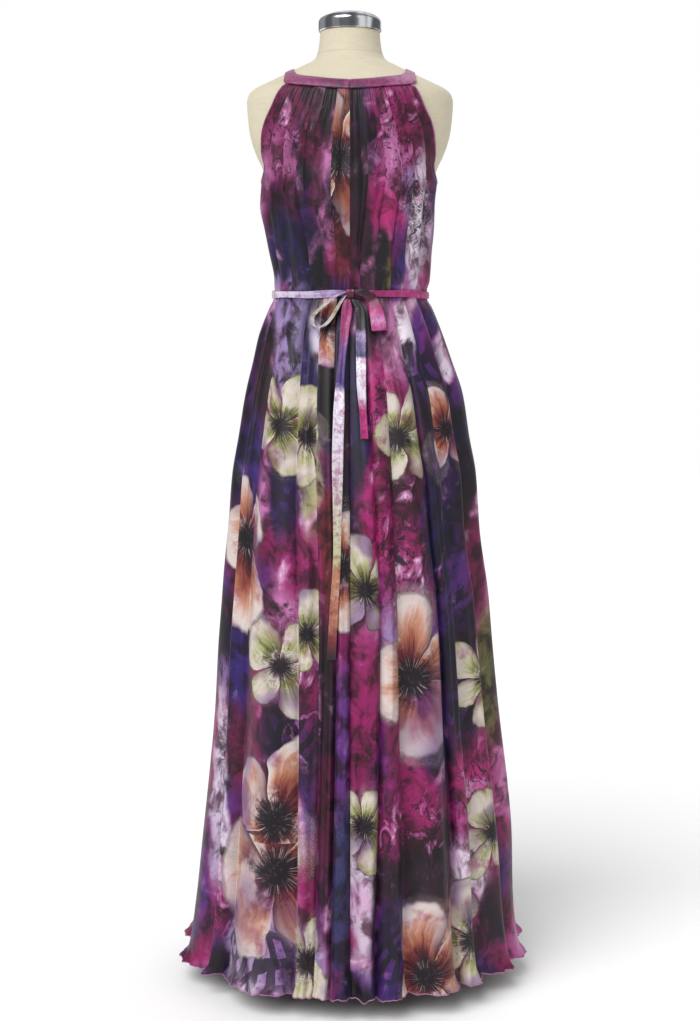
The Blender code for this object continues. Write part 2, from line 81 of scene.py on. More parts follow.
# The dress form: height, half width, depth behind and in front of the axis, lean to the front
FORM_ROWS = [
    (785, 118, 88, 78, 0),
    (802, 133, 101, 90, 0),
    (880, 136, 106, 93, 0),
    (950, 126, 98, 91, 0),
    (1000, 113, 86, 88, 0),
    (1046, 104, 76, 82, 0),
    (1075, 105, 78, 85, 0),
    (1120, 111, 84, 93, 0),
    (1170, 120, 92, 105, 0),
    (1212, 124, 93, 113, 0),
    (1234, 131, 93, 113, 0),
    (1255, 141, 94, 112, 0),
    (1285, 150, 93, 105, 0),
    (1312, 153, 90, 97, 0),
    (1330, 154, 86.5, 92, 0),
    (1342, 151, 83, 88, 0),
    (1350, 143, 79, 84, 0),
    (1358, 127, 74, 79, 1),
    (1366, 110, 69, 74, 2),
    (1373, 95, 65, 69, 3),
    (1380, 80, 61, 64, 4),
    (1386, 68, 58, 60, 5),
    (1392, 56, 55, 56, 6),
    (1400, 50, 52, 52, 7),
    (1418, 46, 48, 48, 10),
    (1436, 44.5, 45, 45, 12),
]

# The neck cap: height, radius
CAP_ROWS = [
    (1436.3, 45.5),
    (1438, 47),
    (1450, 47),
    (1457, 43),
    (1462, 33),
    (1465, 18),
    (1466, 6),
]

# The dress below the underarm: height, half width to the left and right, depth behind and in front
DRESS_ROWS = [
    (34, 255, 264, 236, 243),
    (50, 243, 254, 234, 240),
    (127, 230, 244, 230, 234),
    (227, 219.5, 239, 225, 228),
    (309, 211, 231, 220, 221),
    (422, 200.5, 218, 211, 209),
    (515, 195, 210, 203, 199),
    (600, 188, 204, 193, 187),
    (703, 180.5, 191.5, 178, 170),
    (774, 176, 189, 166, 157),
    (835, 166.5, 178.5, 152, 142),
    (898, 157, 169, 135, 125),
    (945, 146, 153.5, 121, 114),
    (986, 137, 139.5, 108, 106),
    (1028, 121, 123, 93, 98),
    (1040, 115.5, 117, 88, 94),
    (1053, 114, 116.5, 87, 93),
    (1066, 114, 120, 88, 95),
    (1113, 122, 123, 94, 103),
    (1142, 127.5, 125.5, 98, 109),
    (1180, 135, 127, 101, 117),
    (1212, 133.5, 131, 101, 121),
]

# The armholes: share of the way up to the neck band, panel edge in degrees from centre back on
# the left and right, and from centre front
ARMHOLE_ROWS = [
    (0.00, 90.0, 90.0, 90.0),
    (0.13, 72.0, 70.0, 65.0),
    (0.33, 62.5, 58.5, 55.5),
    (0.57, 54.0, 50.5, 48.5),
    (0.80, 44.3, 41.7, 43.0),
    (1.00, 38.5, 36.7, 39.0),
]

# The folds: where each starts in degrees from the panel's centre line at the waist, halfway down
# and at the hem, its depth at the hem, and how narrow its crest is
BACK_RIGHT_FOLDS = [
    (0, 0, 0, 18, 1.2),
    (7, 13, 8.4, 24, 1.4),
    (18, 20.3, 19.1, 32, 1.0),
    (30, 40.4, 39.3, 22, 1.4),
    (42, 49.7, 50, 28, 1.2),
    (58, 62.6, 68, 28, 1.1),
]
FRONT_FOLDS = [
    (-90, -90, -90, 26, 1.2),
    (-73, -76, -74, 24, 1.3),
    (-58, -58, -61, 30, 1.0),
    (-42, -45, -41, 22, 1.3),
    (-29, -27, -29, 26, 1.2),
    (-15, -17, -14, 18, 1.4),
    (-3, -4, -5, 24, 1.2),
    (11, 9, 12, 28, 1.1),
    (26, 27, 24, 20, 1.4),
    (40, 38, 41, 30, 1.1),
    (55, 58, 55, 22, 1.3),
    (71, 69, 73, 26, 1.2),
]
BACK_LEFT_FOLDS = [
    (-90, -90, -90, 30, 1.1),
    (-66, -66.3, -58.8, 18, 1.4),
    (-50, -55.5, -51.5, 34, 1.0),
    (-31, -23.5, -19.5, 13, 1.4),
    (-20, -13.5, -12.8, 13, 1.4),
    (-10, -5.7, -6.9, 15, 1.3),
]

# Each panel: its centre line, where it starts and ends in degrees from it, its folds, its gathers
# to a fold at the neck, its column of the armhole table, and its columns of cloth to a fold
PANELS = {
    "back_right": (0, 0, 90, BACK_RIGHT_FOLDS, 2.0, 2, 32),
    "front": (180, -90, 90, FRONT_FOLDS, 1.25, 3, 20),
    "back_left": (360, -90, 0, BACK_LEFT_FOLDS, 2.0, 1, 32),
}

# How far the crest of each fold leans to one side, as the power of the share across it
FOLD_LEAN = np.array([1.5, 0.72, 1.35, 0.66, 1.6, 0.8])

# Cloth that a fold hides from the print, in metres, for each fold in turn, and each panel's start
HIDDEN_CLOTH = (0.030, 0.052, 0.041, 0.067, 0.036, 0.058)
PANEL_START = {"back_left": -0.9, "back_right": 0.0, "front": 1.3}

# How far the folds and the neck gathers have opened: height, share of fold depth, gather depth
OPENING_ROWS = [
    (34, 1.00, 0.0),
    (250, 0.86, 0.0),
    (480, 0.72, 0.0),
    (800, 0.46, 0.0),
    (1015, 0.20, 0.0),
    (1040, 0.15, 0.0),
    (1053, 0.15, 0.0),
    (1150, 0.22, 0.2),
    (1212, 0.08, 0.5),
    (1260, 0.00, 1.0),
    (1310, 0.00, 1.5),
    (1350, 0.00, 1.7),
]

# Rows of cloth from the hem up: height where a stretch starts, and the step between its rows
CLOTH_ROW_STEPS = [(HEM_HEIGHT, 2.6), (72, 8), (960, 4.5), (1110, 6.5)]
ARMHOLE_STEPS = 29

# The neck band: angle, height and ease of its lower edge, height of its upper edge
BAND_ROWS = [
    (0, 1339.2, 3.8, 1353.4),
    (11, 1341.2, 3.8, 1355.2),
    (24, 1344.6, 3.8, 1358.8),
    (39, 1349.0, 3.4, 1363.0),
    (52, 1360.5, 1.4, 1369.5),
    (65, 1368.5, 1.25, 1375.0),
    (90, 1372.5, 1.25, 1379.0),
    (115, 1369.0, 1.25, 1375.5),
    (128, 1362.5, 1.4, 1371.0),
    (141, 1348.0, 3.4, 1361.5),
    (160, 1328.5, 3.8, 1343.0),
    (171, 1320.5, 3.8, 1335.0),
    (180, 1318.5, 3.8, 1333.0),
]

# The tails of the belt: distance right of centre back, height, width
LONG_TAIL_ROWS = [
    (-4.0, 1039.1, 8.6),
    (-4.5, 1022, 16),
    (-7.5, 993, 13),
    (-10.5, 963, 11),
    (-14.2, 921, 12),
    (-16.0, 874, 16),
    (-17.8, 808, 16),
    (-18.0, 740, 13),
    (-18.4, 680, 11),
    (-22.0, 611, 12),
    (-27.0, 526, 13),
]
SHORT_TAIL_ROWS = [
    (5.2, 1039.1, 8.6),
    (14.5, 1022, 14),
    (15.6, 993, 15),
    (16.2, 921, 13.5),
    (19.6, 865, 10),
    (21.0, 838, 11),
]

# The loops of the bow: distance right, distance out from the cloth, height, width, and the tilt
# of the width from level; a tilt of None stands the width straight out from the cloth
LEFT_LOOP_ROWS = [
    (-6.9, 5.4, 1048.8, 8, None),
    (-20.0, 7.5, 1043.5, 11, None),
    (-36.0, 8, 1031, 12, None),
    (-49.0, 8, 1019.5, 13, None),
    (-55.0, 8, 1011, 13, None),
    (-54.5, 8, 1002.5, 13, None),
    (-48.0, 8, 997.5, 13, None),
    (-40.0, 8, 999, 13, None),
    (-30.5, 8, 1007, 12, None),
    (-20.5, 7.5, 1022, 11, None),
    (-13.0, 7, 1035.5, 10, None),
    (-7.0, 5.4, 1044.0, 8, None),
]
LOOP_LEAN = (0.45, -0.89, -0.05)
RIGHT_LOOP_ROWS = [
    (6.8, 7.0, 1048.0, 7, 90),
    (16.0, 10.0, 1048.0, 10, 78),
    (25.0, 11.0, 1044.5, 13, 58),
    (32.0, 11.5, 1037.5, 17, 37),
    (36.5, 11.5, 1027, 20, 20),
    (39.5, 11.0, 1014, 21, 9),
    (41.5, 10.0, 1002, 22, 5),
    (42.3, 8.2, 995, 22, 4),
    (42.5, 6.2, 993, 22, 4),
    (42.3, 4.4, 995.5, 22, 4),
    (41.5, 3.4, 1002.5, 22, 5),
    (39.5, 3.2, 1013, 21, 9),
    (35.5, 3.2, 1025, 18, 24),
    (29.0, 3.4, 1034, 14, 45),
    (20.0, 3.8, 1041.5, 9, 68),
    (6.8, 3.4, 1044.5, 6, 90),
]

# Creases listed one by one: panel, place in folds from its first edge, height of the top and bottom,
# lean in folds down its length, half width in folds, and height of the ridge (less than 0: trough)
CREASES = [
    ("back_left", 5.60, 1338, 1075, -0.10, 0.14, -2.2),
    ("back_left", 5.15, 1330, 1120, 0.15, 0.20, 2.0),
    ("back_left", 4.55, 1336, 1062, -0.20, 0.16, -2.4),
    ("back_left", 3.80, 1325, 1160, 0.10, 0.22, 1.8),
    ("back_left", 3.30, 1330, 1070, 0.25, 0.15, -2.0),
    ("back_left", 2.30, 1300, 1090, -0.15, 0.20, -1.8),
    ("back_left", 1.40, 1270, 1058, 0.10, 0.22, -2.2),
    ("back_right", 0.55, 1338, 1062, 0.30, 0.14, -2.6),
    ("back_right", 1.20, 1335, 1150, 0.10, 0.22, 2.0),
    ("back_right", 1.75, 1320, 1070, -0.25, 0.16, -2.2),
    ("back_right", 2.60, 1334, 1100, 0.10, 0.20, 1.8),
    ("back_right", 3.20, 1310, 1058, 0.20, 0.16, -2.2),
    ("back_right", 4.25, 1290, 1080, -0.10, 0.20, -1.6),
    ("back_right", 4.95, 1240, 1056, 0.20, 0.24, -2.0),
    ("front", 1.60, 1270, 1070, 0.15, 0.20, -2.0),
    ("front", 3.10, 1300, 1090, -0.20, 0.18, -2.2),
    ("front", 4.40, 1310, 1062, 0.15, 0.16, -2.4),
    ("front", 5.20, 1310, 1150, 0.10, 0.22, 1.8),
    ("front", 6.30, 1312, 1058, -0.15, 0.16, -2.4),
    ("front", 7.10, 1306, 1120, -0.10, 0.22, 2.0),
    ("front", 7.90, 1305, 1070, 0.20, 0.18, -2.0),
    ("front", 9.30, 1280, 1085, 0.15, 0.20, -2.0),
    ("front", 10.60, 1250, 1060, -0.10, 0.22, -1.8),
    ("back_left", 0.50, 1035, 620, 0.10, 0.10, -3.0),
    ("back_left", 1.45, 1036, 240, 0.25, 0.12, -4.0),
    ("back_left", 2.40, 980, 420, -0.20, 0.12, 3.0),
    ("back_left", 2.75, 700, 40, 0.15, 0.10, -4.5),
    ("back_left", 3.50, 1036, 500, 0.10, 0.16, 2.5),
    ("back_left", 4.45, 900, 120, 0.10, 0.16, -3.0),
    ("back_left", 5.35, 1036, 700, -0.10, 0.16, -2.5),
    ("back_right", 0.45, 1036, 560, 0.20, 0.16, -3.0),
    ("back_right", 1.40, 820, 60, -0.20, 0.14, -4.0),
    ("back_right", 2.35, 1036, 380, 0.20, 0.10, 3.5),
    ("back_right", 2.70, 640, 30, 0.10, 0.10, -4.5),
    ("back_right", 3.45, 1000, 300, -0.15, 0.14, -3.5),
    ("back_right", 4.40, 1036, 150, 0.25, 0.12, -3.5),
    ("back_right", 5.35, 860, 80, 0.10, 0.14, 3.5),
    ("front", 0.55, 900, 120, 0.10, 0.14, -3.5),
    ("front", 2.40, 1030, 320, 0.20, 0.12, -3.5),
    ("front", 3.55, 700, 40, -0.15, 0.14, 3.5),
    ("front", 4.45, 1034, 560, 0.20, 0.14, -3.0),
    ("front", 6.40, 940, 90, 0.15, 0.12, -4.0),
    ("front", 7.55, 1034, 480, -0.15, 0.14, 3.0),
    ("front", 8.45, 620, 30, 0.10, 0.14, -3.5),
    ("front", 9.50, 1030, 250, 0.20, 0.12, -3.5),
    ("front", 11.40, 880, 100, -0.10, 0.14, 3.0),
]


# How deep the dyes lie in the cloth, as a power of their colour
DYE_DEPTH = 1.55
TIE_DEPTH = 1.35

# The dyes of the print
DYES = {
    "magenta": "#a8357f",
    "hot_pink": "#c0458f",
    "mulberry": "#8c2d68",
    "berry": "#701d50",
    "plum": "#371633",
    "night": "#191224",
    "indigo": "#382866",
    "violet": "#55398a",
    "purple": "#7a4a96",
    "slate": "#545884",
    "lilac": "#b3a5c8",
    "lilac_pink": "#cf95bf",
    "band_pink": "#8a3d6a",
    "pale": "#ddd5e2",
    "white": "#f0ebf2",
    "peach": "#bb8a72",
    "blush": "#d3b0a2",
    "petal_white": "#dcd3d0",
    "russet": "#86404a",
    "cocoa": "#7a5664",
    "lime": "#c0c09a",
    "leaf": "#85885a",
}
DYES.update({
    "linen": "#d3cab3",
    "linen_shade": "#c8bea6",
    "linen_slub": "#bbb095",
    "linen_seam": "#8d836c",
    # Dark end of the painted reflection bands on the chrome cap
    "chrome_reflection_dark": "#8d9096",
    "chrome": "#e4e6ea",
    # Dark end of the painted reflection bands on the steel stand
    "steel_reflection_dark": "#6f7276",
    "steel": "#9a9da2",
    "floor": "#fcfcfc",
    "floor_light": "#fefefe",
})

# Clouds of dye on the back: distance right of centre back, height, reach across, reach up, dye
BACK_CLOUDS = [
    (-88, 1262, 20, 40, "lilac_pink"),
    (66, 1268, 18, 46, "lilac_pink"),
    (104, 1150, 18, 70, "white"),
    (-70, 1190, 16, 40, "violet"),
    (-94, 1310, 36, 64, "mulberry"),
    (-113, 1267, 14, 35, "lilac_pink"),
    (-72, 1252, 29, 78, "berry"),
    (-55, 1339, 20, 35, "plum"),
    (-35, 1325, 12, 35, "night"),
    (-7, 1281, 13, 50, "peach"),
    (-17, 1195, 17, 40, "night"),
    (-7, 1124, 17, 50, "russet"),
    (23, 1252, 20, 106, "plum"),
    (17, 1124, 15, 72, "plum"),
    (41, 1092, 12, 52, "night"),
    (65, 1310, 32, 64, "magenta"),
    (55, 1238, 23, 36, "lilac_pink"),
    (55, 1184, 26, 46, "hot_pink"),
    (90, 1281, 20, 57, "mulberry"),
    (113, 1281, 12, 57, "berry"),
    (90, 1195, 20, 31, "lilac"),
    (102, 1138, 17, 86, "pale"),
    (73, 1102, 15, 50, "violet"),
    (55, 1078, 7, 29, "leaf"),
    (115, 1063, 10, 26, "magenta"),
    (-94, 1181, 32, 26, "berry"),
    (-109, 1124, 23, 72, "indigo"),
    (-73, 1109, 26, 72, "indigo"),
    (-47, 1088, 17, 50, "night"),
    (-87, 1059, 32, 14, "lilac"),
    (-94, 979, 26, 65, "lilac"),
    (-127, 950, 17, 86, "plum"),
    (-70, 965, 17, 72, "indigo"),
    (-46, 994, 15, 43, "pale"),
    (-29, 936, 14, 86, "plum"),
    (3, 922, 14, 86, "indigo"),
    (32, 994, 15, 36, "night"),
    (50, 893, 20, 65, "hot_pink"),
    (80, 979, 17, 43, "white"),
    (116, 994, 20, 36, "purple"),
    (108, 943, 20, 29, "violet"),
    (124, 893, 17, 43, "plum"),
    (-22, 850, 17, 72, "plum"),
    (7, 822, 17, 86, "indigo"),
    (72, 801, 32, 52, "berry"),
    (-151, 794, 20, 57, "violet"),
    (-164, 667, 20, 86, "mulberry"),
    (-86, 751, 23, 65, "indigo"),
    (-57, 765, 14, 72, "lime"),
    (-71, 660, 29, 58, "magenta"),
    (-26, 667, 14, 86, "russet"),
    (3, 667, 17, 86, "plum"),
    (36, 723, 26, 86, "hot_pink"),
    (71, 653, 29, 72, "magenta"),
    (78, 554, 31, 58, "lilac"),
    (132, 723, 26, 86, "indigo"),
    (150, 611, 23, 58, "purple"),
    (183, 667, 17, 86, "mulberry"),
    (172, 751, 14, 72, "plum"),
    (-164, 526, 14, 101, "violet"),
    (-98, 554, 31, 58, "lilac_pink"),
    (-71, 469, 23, 58, "magenta"),
    (-86, 409, 37, 44, "night"),
    (-36, 469, 20, 87, "plum"),
    (-7, 412, 20, 87, "purple"),
    (29, 483, 23, 72, "magenta"),
    (131, 412, 29, 58, "indigo"),
    (165, 469, 20, 87, "plum"),
    (203, 469, 14, 87, "leaf"),
    (-193, 354, 11, 87, "pale"),
    (-195, 240, 13, 88, "pale"),
    (-157, 383, 17, 58, "mulberry"),
    (-29, 297, 23, 102, "berry"),
    (-10, 182, 17, 118, "slate"),
    (17, 204, 17, 88, "pale"),
    (86, 297, 49, 56, "magenta"),
    (86, 211, 57, 41, "plum"),
    (180, 326, 31, 73, "hot_pink"),
    (180, 208, 29, 32, "white"),
    (143, 265, 20, 44, "night"),
    (216, 254, 14, 73, "magenta"),
    (129, 108, 37, 53, "blush"),
    (65, 108, 29, 59, "violet"),
    (-72, 86, 37, 48, "lilac"),
    (-144, 91, 34, 45, "pale"),
    (-195, 138, 17, 44, "magenta"),
    (215, 138, 17, 44, "plum"),
    (-12, 64, 14, 37, "indigo"),
]

# Clouds of dye on the front: distance right as worn from the back, height, reaches, dye
FRONT_CLOUDS = [
    (-78, 1275, 28, 60, "magenta"),
    (-34, 1255, 20, 66, "plum"),
    (6, 1275, 20, 50, "lilac_pink"),
    (44, 1240, 22, 60, "berry"),
    (88, 1260, 28, 64, "violet"),
    (-95, 1170, 28, 50, "pale"),
    (-50, 1150, 26, 50, "indigo"),
    (4, 1170, 22, 46, "hot_pink"),
    (52, 1140, 24, 46, "night"),
    (104, 1150, 26, 54, "mulberry"),
    (-88, 1080, 30, 30, "berry"),
    (-20, 1085, 26, 34, "purple"),
    (36, 1080, 24, 32, "lilac"),
    (92, 1080, 26, 34, "plum"),
    (-118, 950, 28, 84, "violet"),
    (-66, 930, 24, 90, "plum"),
    (-16, 960, 24, 70, "pale"),
    (32, 930, 22, 88, "magenta"),
    (78, 950, 24, 78, "indigo"),
    (122, 930, 24, 80, "hot_pink"),
    (-142, 780, 30, 84, "magenta"),
    (-84, 760, 28, 84, "slate"),
    (-28, 770, 26, 80, "berry"),
    (26, 750, 26, 80, "lilac"),
    (80, 760, 28, 80, "night"),
    (138, 740, 30, 90, "purple"),
    (-172, 600, 28, 84, "plum"),
    (-112, 590, 32, 76, "hot_pink"),
    (-44, 580, 30, 80, "indigo"),
    (22, 590, 30, 78, "mulberry"),
    (90, 560, 32, 80, "lilac_pink"),
    (160, 560, 30, 84, "violet"),
    (-190, 410, 26, 90, "lilac"),
    (-124, 400, 36, 76, "berry"),
    (-46, 400, 36, 84, "night"),
    (36, 400, 36, 78, "magenta"),
    (112, 380, 36, 80, "slate"),
    (190, 380, 30, 90, "plum"),
    (-206, 220, 28, 86, "hot_pink"),
    (-136, 210, 38, 78, "purple"),
    (-52, 220, 40, 84, "pale"),
    (34, 210, 40, 80, "plum"),
    (120, 200, 40, 84, "magenta"),
    (206, 220, 32, 88, "indigo"),
    (-200, 80, 32, 50, "plum"),
    (-120, 76, 40, 52, "lilac"),
    (-36, 70, 40, 52, "mulberry"),
    (48, 76, 40, 52, "slate"),
    (130, 70, 40, 52, "blush"),
    (210, 84, 30, 54, "violet"),
]

# Flowers of the print: panel, distance right, height, radius, turn, kind (1 peach, 2 lime), and to
# how many folds beside its own it spreads
BLOOMS = [
    ("back_left", -16, 1238, 150, 80, 1, 0),
    ("back_left", -34, 1000, 70, 130, 1, 0),
    ("back_left", -100, 858, 88, 20, 2, 0),
    ("back_left", -62, 842, 84, 66, 2, 1),
    ("back_left", -152, 690, 150, 60, 1, 1),
    ("back_left", -100, 512, 92, 30, 2, 1),
    ("back_left", -61, 560, 80, 200, 2, 0),
    ("back_left", -105, 215, 190, 66, 1, 1),
    ("back_left", -108, 290, 150, 200, 1, 0),
    ("back_left", -10, 655, 110, 40, 1, 0),
    ("back_left", -62, 90, 104, 10, 2, 1),
    ("back_right", 70, 838, 96, 78, 2, 1),
    ("back_right", 141, 850, 100, 190, 1, 1),
    ("back_right", 22, 622, 90, 60, 2, 0),
    ("back_right", 88, 494, 150, 150, 1, 1),
    ("back_right", 189, 480, 92, 40, 2, 1),
    ("back_right", 20, 286, 84, 110, 2, 0),
    ("back_right", 214, 250, 84, 70, 2, 1),
    ("back_right", 180, 100, 104, 10, 2, 1),
    ("back_right", 112, 62, 130, 64, 1, 1),
    ("front", -62, 1205, 84, 200, 1, 1),
    ("front", 74, 1020, 66, 40, 2, 1),
    ("front", -98, 868, 90, 80, 2, 1),
    ("front", 46, 842, 120, 150, 1, 1),
    ("front", -10, 668, 84, 20, 2, 0),
    ("front", 120, 640, 90, 100, 2, 1),
    ("front", -130, 520, 150, 60, 1, 1),
    ("front", 40, 470, 96, 10, 2, 0),
    ("front", -60, 300, 170, 120, 1, 1),
    ("front", 135, 280, 104, 30, 2, 1),
    ("front", -170, 130, 100, 70, 2, 1),
    ("front", 44, 110, 150, 160, 1, 1),
    ("front", 180, 760, 100, 60, 1, 1),
]

# Where the print is inked with fine dark lines on the back: distance right, height, reaches
BACK_INK = [
    (69, 1267, 43, 85),
    (-94, 1267, 38, 71),
    (98, 1174, 29, 71),
    (89, 695, 57, 115),
    (43, 858, 23, 72),
    (-71, 455, 34, 87),
    (86, 280, 60, 62),
    (186, 326, 37, 73),
    (-195, 138, 23, 44),
    (79, 794, 34, 43),
    (-17, 1174, 14, 43),
]
FRONT_INK = [
    (-70, 1280, 36, 60),
    (60, 1200, 34, 60),
    (40, 930, 30, 90),
    (-120, 720, 44, 80),
    (30, 560, 46, 80),
    (170, 440, 40, 80),
    (-40, 420, 44, 80),
    (120, 180, 50, 70),
    (-200, 250, 30, 70),
]

# Inked lines along the shores of the dyes: level, outer and inner half width, dye, depth
SHORE_LINES = [
    (0.545, 0.020, 0.006, "plum", 0.92),
    (0.575, 0.007, 0.002, "berry", 0.8),
    (0.44, 0.009, 0.003, "plum", 0.8),
]

# The colours of a petal from the heart outwards: share of the way, dye
PEACH_PETAL = ((0.10, "plum"), (0.30, "russet"), (0.50, "peach"), (0.70, "blush"), (0.86, "petal_white"))
LIME_PETAL = ((0.10, "plum"), (0.28, "leaf"), (0.50, "lime"), (0.72, "petal_white"), (1.00, "lime"))

# Where black lace lies over the print on the back: distance right, height, reaches
BACK_LACE = [
    (-28, 1170, 16, 70),
    (-46, 1085, 22, 50),
    (92, 1176, 26, 60),
    (-34, 1320, 30, 40),
    (-30, 880, 26, 110),
    (-10, 700, 22, 100),
    (60, 690, 40, 90),
    (-70, 600, 40, 60),
    (-84, 380, 46, 60),
    (60, 240, 44, 60),
    (150, 560, 36, 80),
    (-190, 420, 20, 90),
    (160, 300, 30, 60),
]
FRONT_LACE = [
    (-40, 1230, 30, 70),
    (60, 1110, 34, 60),
    (-20, 880, 40, 90),
    (90, 720, 40, 90),
    (-120, 600, 44, 80),
    (40, 380, 50, 80),
    (-60, 180, 50, 70),
    (170, 180, 44, 70),
]

# Where curved stripes cross the print on the back: distance right, height, reaches
BACK_CURLS = [
    (107, 933, 29, 49),
    (-86, 409, 43, 52),
    (166, 440, 29, 49),
    (-132, 91, 60, 59),
    (-86, 794, 29, 63),
    (65, 101, 37, 53),
]
FRONT_CURLS = [
    (-20, 960, 34, 60),
    (100, 740, 38, 60),
    (-60, 560, 40, 60),
    (-130, 260, 50, 70),
    (60, 250, 44, 60),
]


BACK_PRINT = (BACK_CLOUDS, BACK_INK, BACK_LACE, BACK_CURLS)
FRONT_PRINT = (FRONT_CLOUDS, FRONT_INK, FRONT_LACE, FRONT_CURLS)


def smooth(rows, places, column):
    """A column of a table, read on a soft curve through its rows."""
    starts = np.array([row[0] for row in rows], dtype=float)
    values = np.array([row[column] for row in rows], dtype=float)
    steps = np.diff(starts)
    slopes = np.diff(values) / steps
    lean = np.zeros_like(values)
    same_way = slopes[:-1] * slopes[1:] > 0
    low, high = slopes[:-1][same_way], slopes[1:][same_way]
    lean[1:-1][same_way] = 2 * low * high / (low + high)
    lean[0], lean[-1] = slopes[0], slopes[-1]
    places = np.clip(places, starts[0], starts[-1])
    spot = np.clip(np.searchsorted(starts, places) - 1, 0, len(starts) - 2)
    share = (places - starts[spot]) / steps[spot]
    keep, turn = share * share * (3 - 2 * share), share * (1 - share)
    value = values[spot] + keep * (values[spot + 1] - values[spot])
    bend = (1 - share) * lean[spot] - share * lean[spot + 1]
    return value + turn * bend * steps[spot]


def eased(value):
    """A share from 0 to 1 with soft ends."""
    value = np.clip(value, 0.0, 1.0)
    return value * value * (3 - 2 * value)


def folded(angle):
    """An angle brought to the half turn that the neck band's table covers."""
    angle = np.asarray(angle) % 360
    return np.minimum(angle, 360 - angle)


def on_section(angle, half_width, back, front, lean, out):
    """Points of oval sections, moved straight out of them by a distance."""
    turn = np.radians(angle)
    depth = np.where(np.cos(turn) > 0, back, front)
    across, along = np.sin(turn), -np.cos(turn)
    normal = np.stack([across / half_width, along / depth], axis=-1)
    normal /= np.linalg.norm(normal, axis=-1, keepdims=True)
    flat = np.stack([half_width * across, lean + depth * along], axis=-1)
    return flat + np.asarray(out)[..., None] * normal


def form_surface(angle, height):
    """Points of the dress form."""
    sizes = [smooth(FORM_ROWS, height, column) for column in (1, 2, 3, 4)]
    flat = on_section(angle, *sizes, np.zeros_like(angle + height))
    return np.concatenate([flat, (height + 0 * angle)[..., None]], axis=-1)


def form_points(angle, height, out):
    """Points at a distance straight out from the dress form."""
    around = form_surface(angle + 1, height) - form_surface(angle - 1, height)
    upward = form_surface(angle, height + 4) - form_surface(angle, height - 4)
    normal = np.cross(around, upward)
    normal /= np.linalg.norm(normal, axis=-1, keepdims=True)
    return form_surface(angle, height) + np.asarray(out)[..., None] * normal


def dress_points(angle, height, out):
    """Points of the dress at a distance out from its smooth section."""
    to_the_right = np.sin(np.radians(angle)) > 0
    share = eased((height - UNDERARM) / 36)
    width = np.where(to_the_right, smooth(DRESS_ROWS, height, 2), smooth(DRESS_ROWS, height, 1))
    sizes = []
    for low, column in ((width, 1), (smooth(DRESS_ROWS, height, 3), 2), (smooth(DRESS_ROWS, height, 4), 3)):
        high = smooth(FORM_ROWS, height, column) + CLOTH_EASE
        sizes.append(low + share * (high - low))
    flat = on_section(angle, *sizes, 0.0, out)
    return np.concatenate([flat, (height + 0 * angle)[..., None]], axis=-1)


def fold_levels():
    """For each panel, the level of each fold's crest and of the valley on each side of it."""
    order = [(name, fold[3]) for name, panel in PANELS.items() for fold in panel[3]]
    levels = {name: [] for name in PANELS}
    for index, (name, depth) in enumerate(order):
        before = order[index - 1][1]
        after = order[(index + 1) % len(order)][1]
        valleys = (-0.45 * (before + depth) / 2, -0.45 * (after + depth) / 2)
        levels[name].append((0.55 * depth, *valleys))
    return levels


def fold_line(folds, end, place, height):
    """The angle of a fold line at a height, from its place at the waist, halfway and at the hem."""
    number = np.minimum(place.astype(int), len(folds) - 1)
    share = place - number
    lines = []
    for column in range(3):
        starts = np.array([fold[column] for fold in folds] + [end], dtype=float)
        lines.append(starts[number] + share * (starts[number + 1] - starts[number]))
    waist, middle, hem = lines
    angle = 0
    for shift in (-90, -45, 0, 45, 90):
        low = np.clip((height + shift - 100) / 480, 0, 1)
        high = np.clip((height + shift - 580) / 466, 0, 1)
        angle = angle + (hem + (middle - hem) * low + (waist - middle) * high) / 5
    return angle


def fold_shape(name, place):
    """How far each column of a panel stands out, as a fold of full depth."""
    folds = PANELS[name][3]
    number = np.minimum(place.astype(int), len(folds) - 1)
    share = place - number
    crest, before, after = (np.array(level)[number] for level in zip(*fold_levels()[name]))
    lean = FOLD_LEAN[number % len(FOLD_LEAN)]
    valley = before + share * (after - before)
    swell = np.sin(np.pi * np.clip(share, 0, 1) ** lean) ** 0.9
    return valley + (crest - valley) * swell


def creases(name, place, height):
    """The relief of the creases that are listed for a panel."""
    relief = np.zeros_like(place + height)
    for panel, start, top, bottom, lean, width, ridge in CREASES:
        if panel != name:
            continue
        run = (top - height) / (top - bottom)
        reach = eased(run / 0.22) * eased((1 - run) / 0.3)
        side = (place - start - lean * run) / width
        relief += ridge * reach * np.exp(-side * side)
    return relief


def panel_points(name):
    """Rows of points of a panel from the hem up, and its folds' places on them."""
    centre, start, end, folds, gathers, armhole, fine = PANELS[name]
    place = np.linspace(0, len(folds), len(folds) * fine + 1)[None, :]
    level = (start + (end - start) * place / len(folds)) / 90
    edge = smooth(ARMHOLE_ROWS, 0.13, armhole)
    fitted = np.sign(level) * np.interp(np.abs(level), [0, 0.8, 1], [0, 0.8 * edge, 90])

    low_heights = []
    for (bottom, step), (top, _) in zip(CLOTH_ROW_STEPS, CLOTH_ROW_STEPS[1:] + [(UNDERARM, 0)]):
        low_heights.extend(np.linspace(bottom, top, round((top - bottom) / step), endpoint=False))
    low = np.array(low_heights)[:, None] + 0 * place
    even = eased((low - 1100) / (UNDERARM - 1100))
    low_angle = fold_line(folds, end, place, low) * (1 - even) + fitted * even

    share = np.append(0.955 * np.linspace(0, 1, ARMHOLE_STEPS - 3) ** 1.4, [0.968, 0.982, 1.0])[:, None]
    neck = level * ARMHOLE_ROWS[-1][armhole]
    top = smooth(BAND_ROWS, folded(centre + neck), 1) + BAND_LAP
    high = UNDERARM + share * (top - UNDERARM)
    turn = np.clip(share / 0.13, 0, 1) ** 0.6
    high_angle = level * smooth(ARMHOLE_ROWS, np.maximum(share, 0.13), armhole)
    high_angle = fitted + turn * (high_angle - fitted)

    height = np.concatenate([low, high])
    angle = np.concatenate([low_angle, high_angle])
    place = place + 0 * height
    return centre + angle, height, place


